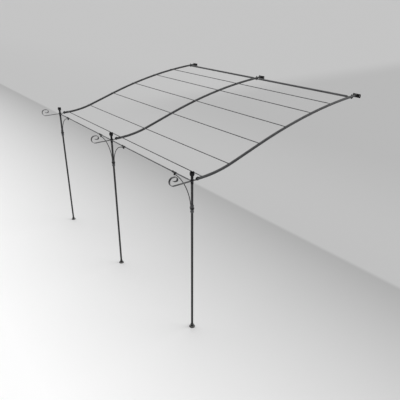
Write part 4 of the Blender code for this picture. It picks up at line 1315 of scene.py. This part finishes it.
def wall_bracket(sizes):
    """The wall plate with its welded stub tube."""
    wide, tall, thick = PLATE
    low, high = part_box("wall_bracket_middle")
    wall_y, z = high.y, low.z + tall / 2
    face = wall_y - thick
    plate = open_sheet("bracket", (wide, tall), (0, wall_y, z), (math.pi / 2, 0, 0))
    draw_out((0, -thick, 0))
    rounded_corners(plate, lambda a, b: abs(a.y - b.y) > thick / 2, PLATE_CORNER, segments=6)
    settle(plate)
    sink_r, sink_end_r, sink_depth = PLATE_SINK
    for side in (-1, 1):
        x = side * (wide / 2 - PLATE_HOLE_INSET)
        combined(plate, bar(PLATE_HOLE_R, (x, wall_y - 0.02, z), (x, wall_y + 0.02, z)), "DIFFERENCE")
        sink = bar(sink_r, (x, face - 0.0001, z), (x, face + sink_depth, z), end_radius=sink_end_r)
        combined(plate, sink, "DIFFERENCE")
    softened(plate, width=0.0005, segments=2, angle=50.0)
    first, _ = across_rafter(rafter_length() - SPIGOT_INSIDE, 0.0)
    last, slope = across_rafter(rafter_length() + SPIGOT_BEYOND, 0.0)
    along = Vector((0, math.cos(slope), math.sin(slope)))
    stub = open_ring("stub", SPIGOT_R, sizes.facets, first, along)
    draw_out(last - first)
    settle(stub)
    walled(stub, SPIGOT_WALL)
    drilled(stub, [rafter_hole(sizes, wall_bolt_station(), LARGE_BOLT.shank, -sizes.rafter_d)])
    return joined([plate, stub, weld_bead(last, along, face)], "bracket")


def weld_bead(last, along, face_y):
    """A rippled weld round the stub where it meets the plate."""
    centre = last + along * ((face_y - last.y) / along.y)
    bpy.ops.object.select_all(action="DESELECT")
    bpy.ops.mesh.primitive_torus_add(
        major_segments=72,
        minor_segments=10,
        major_radius=SPIGOT_R + BEAD_OUT,
        minor_radius=BEAD_ROUND,
        location=centre,
        rotation=along.to_track_quat("Z", "Y").to_euler(),
    )
    bead = bpy.context.object
    bpy.ops.object.transform_apply()
    ripple_bead(bead, centre, along)
    shade(bead, angle=60.0)
    return bead


def ripple_bead(bead, centre, along):
    """Swells every third cross ring of the weld a little, as the puddles of one pass."""
    edit(bead)
    side, reach = along.cross(X_AXIS).normalized(), BEAD_ROUND + 0.00005
    for i in range(BEAD_PUDDLES):
        turn = 2 * math.pi * i / BEAD_PUDDLES
        spoke = X_AXIS * math.cos(turn) + side * math.sin(turn)
        core = centre + spoke * (SPIGOT_R + BEAD_OUT)
        pick(bead, lambda co: (co - core).length < reach and abs((co - centre).normalized().dot(spoke)) > 0.9)
        resize(core, (BEAD_SWELL, BEAD_SWELL, BEAD_SWELL))
    bpy.ops.object.mode_set(mode="OBJECT")


# Operators


class PERGOLA_OT_materials(bpy.types.Operator):
    """Makes the powder coats and the blackened steel"""

    bl_idname = "pergola.materials"
    bl_label = "Finishes"

    def execute(self, context):
        finish = context.scene.pergola_finishes
        powder_coat_group()
        dust_and_top_highlight_group()
        run_marks_group()
        steel_wear_group()
        gloss = finish.roughness
        coat_material("graphite_coat", tuple(finish.graphite), gloss + 0.10, dust_and_highlight_amount=0.06)
        coat_material("post_coat", tuple(finish.post), gloss, dust_and_highlight_amount=0.15, marks=0.25, shine=0.42)
        coat_material("black_coat", tuple(finish.black), gloss - 0.04, dust_and_highlight_amount=0.08, shine=0.18)
        # The beams' lighter grey is a painted highlight along them
        coat_material("grey_coat_painted_highlight", tuple(finish.grey_with_painted_highlight), gloss + 0.04, dust_and_highlight_amount=0.25)
        # The lighter coat of the rails and purlins, and of the sleeves below, is a painted highlight
        coat_material("rod_coat_painted_highlight", tuple(finish.rod), gloss + 0.04, dust_and_highlight_amount=0.15)
        coat_material("sleeve_coat_painted_highlight", tuple(finish.rod), gloss, dust_and_highlight_amount=0.12)
        # The foot's heavy dust amount paints its top lighter: a painted highlight
        coat_material("foot_coat", tuple(finish.post), gloss, dust_and_highlight_amount=0.85, edge=0.7)
        steel_material("bolt_steel", tuple(finish.steel))
        return {"FINISHED"}


class PERGOLA_OT_posts(bpy.types.Operator):
    """Models the three post tubes"""

    bl_idname = "pergola.posts"
    bl_label = "Posts"

    def execute(self, context):
        for name, side, holes in BRACED_POSTS:
            model = post_tube(context.scene.pergola_sizes, holes)
            placed_for(f"post_{name}", "tube", model, at_post(side), "post_coat")
            removed(model)
        return {"FINISHED"}


class PERGOLA_OT_feet(bpy.types.Operator):
    """Models the domed feet"""

    bl_idname = "pergola.feet"
    bl_label = "Feet"

    def execute(self, context):
        model = foot_piece(context.scene.pergola_sizes)
        at_each_post("foot", "flange", model, "foot_coat")
        return {"FINISHED"}


class PERGOLA_OT_collars(bpy.types.Operator):
    """Models the turned collars that take the braces"""

    bl_idname = "pergola.collars"
    bl_label = "Collars"

    def execute(self, context):
        for name, side, holes in BRACED_POSTS:
            place = at_post(side)
            sleeve, ring = collar_sleeve(context.scene.pergola_sizes, holes), collar_ring(holes)
            placed_for(f"collar_{name}", "sleeve", sleeve, place, "sleeve_coat_painted_highlight")
            placed(f"collar_{name}_ring", ring, place, "black_coat")
            removed(sleeve, ring)
        return {"FINISHED"}


class PERGOLA_OT_heads(bpy.types.Operator):
    """Models the heads that plug the posts"""

    bl_idname = "pergola.heads"
    bl_label = "Post Heads"

    def execute(self, context):
        for name, side in SIDES:
            node = f"post_head_{name}"
            model = head_piece(node)
            placed_for(node, "boss", model, at_post(side), "black_coat")
            removed(model)
        return {"FINISHED"}


class PERGOLA_OT_finials(bpy.types.Operator):
    """Models the tulip finials"""

    bl_idname = "pergola.finials"
    bl_label = "Finials"

    def execute(self, context):
        at_each_post("finial", "tulip", finial_piece(), "black_coat")
        return {"FINISHED"}


class PERGOLA_OT_straps(bpy.types.Operator):
    """Models the scroll straps"""

    bl_idname = "pergola.straps"
    bl_label = "Scroll Straps"

    def execute(self, context):
        at_each_post("scroll", "strap", strap_piece(), "graphite_coat")
        return {"FINISHED"}


class PERGOLA_OT_beams(bpy.types.Operator):
    """Models the front beams with their pressed ends"""

    bl_idname = "pergola.beams"
    bl_label = "Front Beams"

    def execute(self, context):
        sizes = context.scene.pergola_sizes
        lift = (BEAM_TAB.thickness + GAP) / 2
        for name, side, tabs in (("left", -1, (lift, -lift)), ("right", 0, (lift, lift))):
            model = pressed_bar("beam", sizes.beam_d, BEAM_TAB, tabs, BEAM_FACETS)
            place = at_post(side, beam_z())
            placed_for(f"front_beam_{name}", "tube", model, place, "grey_coat_painted_highlight")
            removed(model)
        return {"FINISHED"}


class PERGOLA_OT_braces(bpy.types.Operator):
    """Models the quarter-round braces and their bolts"""

    bl_idname = "pergola.braces"
    bl_label = "Braces"

    def execute(self, context):
        sizes = context.scene.pergola_sizes
        model = brace_bar(sizes)
        tip, face = sizes.post_d / 2 - POST_WALL - BRACE_BOLT_INSIDE, COLLAR_R + GAP + BRACE_TAB + GAP
        screw = bolt("brace_screw", BRACE_BOLT, tip, face, False)
        for name, side, way in BRACES:
            place = at_post(side, turn=(0, 0, 0.0 if way > 0 else math.pi))
            placed_for(f"brace_{name}", "bar", model, place, "graphite_coat")
            place = at_post(side, collar_z(), turn=(0, way * math.pi / 2, 0))
            placed_for(f"brace_bolt_{name}", "hex", screw, place, "bolt_steel")
        removed(model, screw)
        return {"FINISHED"}


class PERGOLA_OT_clamps(bpy.types.Operator):
    """Models the beam clamps with their cross bolts and stop rings"""

    bl_idname = "pergola.clamps"
    bl_label = "Beam Clamps"

    def execute(self, context):
        sizes = context.scene.pergola_sizes
        band, cross, ring = clamp_band(sizes), clamp_bolt(), stop_ring(sizes)
        clamp_x, _ = clamp_place()
        for name, side, way in BRACES:
            node, along = f"beam_clamp_{name}", way * clamp_x
            place = at_post(side, beam_z(), along)
            placed_for(node, "band", band, place, "black_coat")
            placed(f"{node}_bolt", cross, place, "bolt_steel")
            for end, turn in (("near", 0.0), ("far", math.pi)):
                place = at_post(side, beam_z(), along, turn=(0, 0, turn))
                placed(f"{node}_{end}_ring", ring, place, "black_coat")
        removed(band, cross, ring)
        return {"FINISHED"}


class PERGOLA_OT_rafters(bpy.types.Operator):
    """Models the bent rafters with their front and wall bolts"""

    bl_idname = "pergola.rafters"
    bl_label = "Rafters"

    def execute(self, context):
        sizes = context.scene.pergola_sizes
        model = rafter_tube(sizes)
        high = sizes.rafter_d / 2 + GAP
        front = bolt("front_bolt", FRONT_BOLT, -high, high, True)
        saddle = saddle_washer(sizes)
        rear = bolt("wall_bolt", LARGE_BOLT, -high - 2 * (RAIL_TAB.thickness + GAP), high, True)
        bolts = (("front_bolt", front, TONGUE_BOLT), ("wall_bolt", rear, wall_bolt_station()))
        for name, side in SIDES:
            placed_for(f"rafter_{name}", "tube", model, at_post(side), "graphite_coat")
            for kind, part, station in bolts:
                place = on_rafter(side, station, 0.0)
                placed_for(f"{kind}_{name}", "hex", part, place, "bolt_steel")
            place = on_rafter(side, TONGUE_BOLT, 0.0)
            placed(f"front_saddle_{name}", saddle, place, "black_coat")
        removed(model, front, rear, saddle)
        return {"FINISHED"}


class PERGOLA_OT_purlins(bpy.types.Operator):
    """Models the purlin rods and their screws"""

    bl_idname = "pergola.purlins"
    bl_label = "Purlins"

    def execute(self, context):
        sizes = context.scene.pergola_sizes
        thick = PURLIN_TAB.thickness
        lift = (thick + GAP) / 2
        height = sizes.rafter_d / 2 + GAP + thick + GAP / 2
        screw = bolt("purlin_screw", PURLIN_SCREW, -PURLIN_SCREW_DEPTH, 0.0, False)
        stations = tuple(enumerate(PURLIN_STATIONS, 1))
        for name, side, tabs in (("left", -1, (-lift, -lift)), ("right", 0, (lift, -lift))):
            model = pressed_bar("purlin", sizes.purlin_d, PURLIN_TAB, tabs, PURLIN_FACETS)
            for number, station in stations:
                place = on_rafter(side, station, height)
                placed_for(f"purlin_{name}_{number}", "rod", model, place, "rod_coat_painted_highlight")
            removed(model)
        for number, station in stations:
            for name, side, level in (("left", -1, -lift), ("middle", 0, lift), ("right", 1, -lift)):
                place = on_rafter(side, station, height + level + thick / 2)
                placed(f"purlin_screw_{name}_{number}", screw, place, "bolt_steel")
        removed(screw)
        return {"FINISHED"}


class PERGOLA_OT_rails(bpy.types.Operator):
    """Models the back rails under the rafters' wall ends"""

    bl_idname = "pergola.rails"
    bl_label = "Back Rails"

    def execute(self, context):
        sizes = context.scene.pergola_sizes
        thick = RAIL_TAB.thickness
        upper = -(sizes.rafter_d / 2 + GAP + thick / 2)
        lower = upper - thick - GAP
        axis = lower - thick / 2 + sizes.rail_d / 2
        for name, side, tabs in (("left", -1, (upper, lower)), ("right", 0, (upper, upper))):
            heights = [tab - axis for tab in tabs]
            model = pressed_bar("rail", sizes.rail_d, RAIL_TAB, heights, RAIL_FACETS)
            place = on_rafter(side, wall_bolt_station(), axis)
            placed_for(f"back_rail_{name}", "tube", model, place, "rod_coat_painted_highlight")
            removed(model)
        return {"FINISHED"}


class PERGOLA_OT_brackets(bpy.types.Operator):
    """Models the wall plates with their welded stubs"""

    bl_idname = "pergola.brackets"
    bl_label = "Wall Brackets"

    def execute(self, context):
        model = wall_bracket(context.scene.pergola_sizes)
        at_each_post("wall_bracket", "welded", model, "black_coat")
        return {"FINISHED"}


class PERGOLA_OT_stage(bpy.types.Operator):
    """Sets the camera, the pale floor and the soft lights"""

    bl_idname = "pergola.stage"
    bl_label = "Stage"

    def execute(self, context):
        stage = context.scene.pergola_stage
        add_camera()
        add_floor(stage)
        add_lights(stage)
        context.scene.view_settings.view_transform = "Standard"
        return {"FINISHED"}


def add_camera():
    turn = [math.radians(angle) for angle in CAMERA_TURN]
    bpy.ops.object.camera_add(location=CAMERA_PLACE, rotation=turn)
    camera = bpy.context.object
    camera.name = "camera"
    camera.data.sensor_width = SENSOR
    camera.data.lens = CAMERA_LENS
    bpy.context.scene.camera = camera


def grey_tone(tone):
    return (tone, tone, tone, 1.0)


def add_floor(stage):
    """A pale floor whose colour carries painted shade towards the wall line, a soft step of tone there, and a
    patch of painted shadow beyond it.
    """
    bpy.ops.object.select_all(action="DESELECT")
    bpy.ops.mesh.primitive_plane_add(size=FLOOR_SIZE, location=(0, 0, -FLOOR_DROP))
    floor = named(bpy.context.object, "floor")
    bpy.ops.object.transform_apply()
    made, tree, shader = new_material("pale_floor", grey_tone(stage.floor_light))
    apart = add_node(tree, "ShaderNodeSeparateXYZ", {"Vector": object_place(tree)})
    across, depth = apart["X"], apart["Y"]
    # Painted shade: the grey falls from the front towards the wall line
    near = ranged(tree, depth, PAINTED_SHADE_FROM, SEAM[0], stage.floor_light, stage.floor_painted_shade, "LINEAR")
    far = ranged(tree, depth, SEAM[1], FAR_FROM, stage.floor_step, stage.floor_beyond)
    # Painted shadow: a soft darker patch beyond the wall line
    painted_shadow_mask = times(tree, ranged(tree, depth, *PAINTED_SHADOW_DEPTH), ranged(tree, across, *PAINTED_SHADOW_SIDE))
    far = mixed(tree, painted_shadow_mask, far, grey_tone(stage.floor_painted_shadow))
    tone = mixed(tree, ranged(tree, depth, *SEAM), near, far)
    linked(tree, shader, {"Base Color": tone, "Roughness": FLOOR_ROUGHNESS, "IOR": FLOOR_IOR})
    floor.data.materials.append(made)


def add_lamp(name, place, turn, spread, strength):
    angles = [math.radians(angle) for angle in turn]
    bpy.ops.object.light_add(type="SUN", location=place, rotation=angles)
    lamp = bpy.context.object
    lamp.name = name
    lamp.data.energy = strength
    lamp.data.angle = math.radians(spread)


def add_lights(stage):
    """A broad lamp high at the left, a lower one behind at the right, and an even sky."""
    add_lamp("broad_lamp", *BROAD_LAMP, stage.lamp)
    add_lamp("rear_lamp", *REAR_LAMP, stage.rear_lamp)
    world = bpy.data.worlds.new("studio")
    bpy.context.scene.world = world
    world.use_nodes = True
    tree = world.node_tree
    tree.nodes.clear()
    lit = add_node(tree, "ShaderNodeBackground", {"Color": (1, 1, 1, 1), "Strength": stage.sky})[0]
    seen = add_node(tree, "ShaderNodeBackground", {"Color": tuple(stage.backdrop), "Strength": 1.0})[0]
    camera_ray = add_node(tree, "ShaderNodeLightPath")["Is Camera Ray"]
    mix = add_node(tree, "ShaderNodeMixShader", {0: camera_ray, 1: lit, 2: seen})[0]
    add_node(tree, "ShaderNodeOutputWorld", {"Surface": mix}, is_active_output=True)


class PERGOLA_PT_panel(bpy.types.Panel):
    bl_label = "Lean-to Pergola"
    bl_idname = "PERGOLA_PT_panel"
    bl_space_type = "VIEW_3D"
    bl_region_type = "UI"
    bl_category = "Pergola"

    def draw(self, context):
        for group in ("pergola_sizes", "pergola_finishes", "pergola_stage"):
            box = self.layout.box()
            settings = getattr(context.scene, group)
            for key in settings.__annotations__:
                box.prop(settings, key)
        for operator in OPERATORS:
            self.layout.operator(operator.bl_idname)


OPERATORS = (
    PERGOLA_OT_materials,
    PERGOLA_OT_posts,
    PERGOLA_OT_feet,
    PERGOLA_OT_collars,
    PERGOLA_OT_heads,
    PERGOLA_OT_finials,
    PERGOLA_OT_straps,
    PERGOLA_OT_beams,
    PERGOLA_OT_braces,
    PERGOLA_OT_clamps,
    PERGOLA_OT_rafters,
    PERGOLA_OT_purlins,
    PERGOLA_OT_rails,
    PERGOLA_OT_brackets,
    PERGOLA_OT_stage,
)
GROUPS = (PergolaSizes, PergolaFinishes, PergolaStage)


def register():
    for made in (*GROUPS, *OPERATORS, PERGOLA_PT_panel):
        bpy.utils.register_class(made)
    bpy.types.Scene.pergola_sizes = PointerProperty(type=PergolaSizes)
    bpy.types.Scene.pergola_finishes = PointerProperty(type=PergolaFinishes)
    bpy.types.Scene.pergola_stage = PointerProperty(type=PergolaStage)


def unregister():
    del bpy.types.Scene.pergola_stage
    del bpy.types.Scene.pergola_finishes
    del bpy.types.Scene.pergola_sizes
    for made in (PERGOLA_PT_panel, *reversed(OPERATORS), *reversed(GROUPS)):
        bpy.utils.unregister_class(made)


def main():
    register()
    bpy.ops.pergola.materials()
    bpy.ops.pergola.posts()
    bpy.ops.pergola.feet()
    bpy.ops.pergola.collars()
    bpy.ops.pergola.heads()
    bpy.ops.pergola.finials()
    bpy.ops.pergola.straps()
    bpy.ops.pergola.beams()
    bpy.ops.pergola.braces()
    bpy.ops.pergola.clamps()
    bpy.ops.pergola.rafters()
    bpy.ops.pergola.purlins()
    bpy.ops.pergola.rails()
    bpy.ops.pergola.brackets()
    bpy.ops.pergola.stage()


if __name__ == "__main__":
    main()
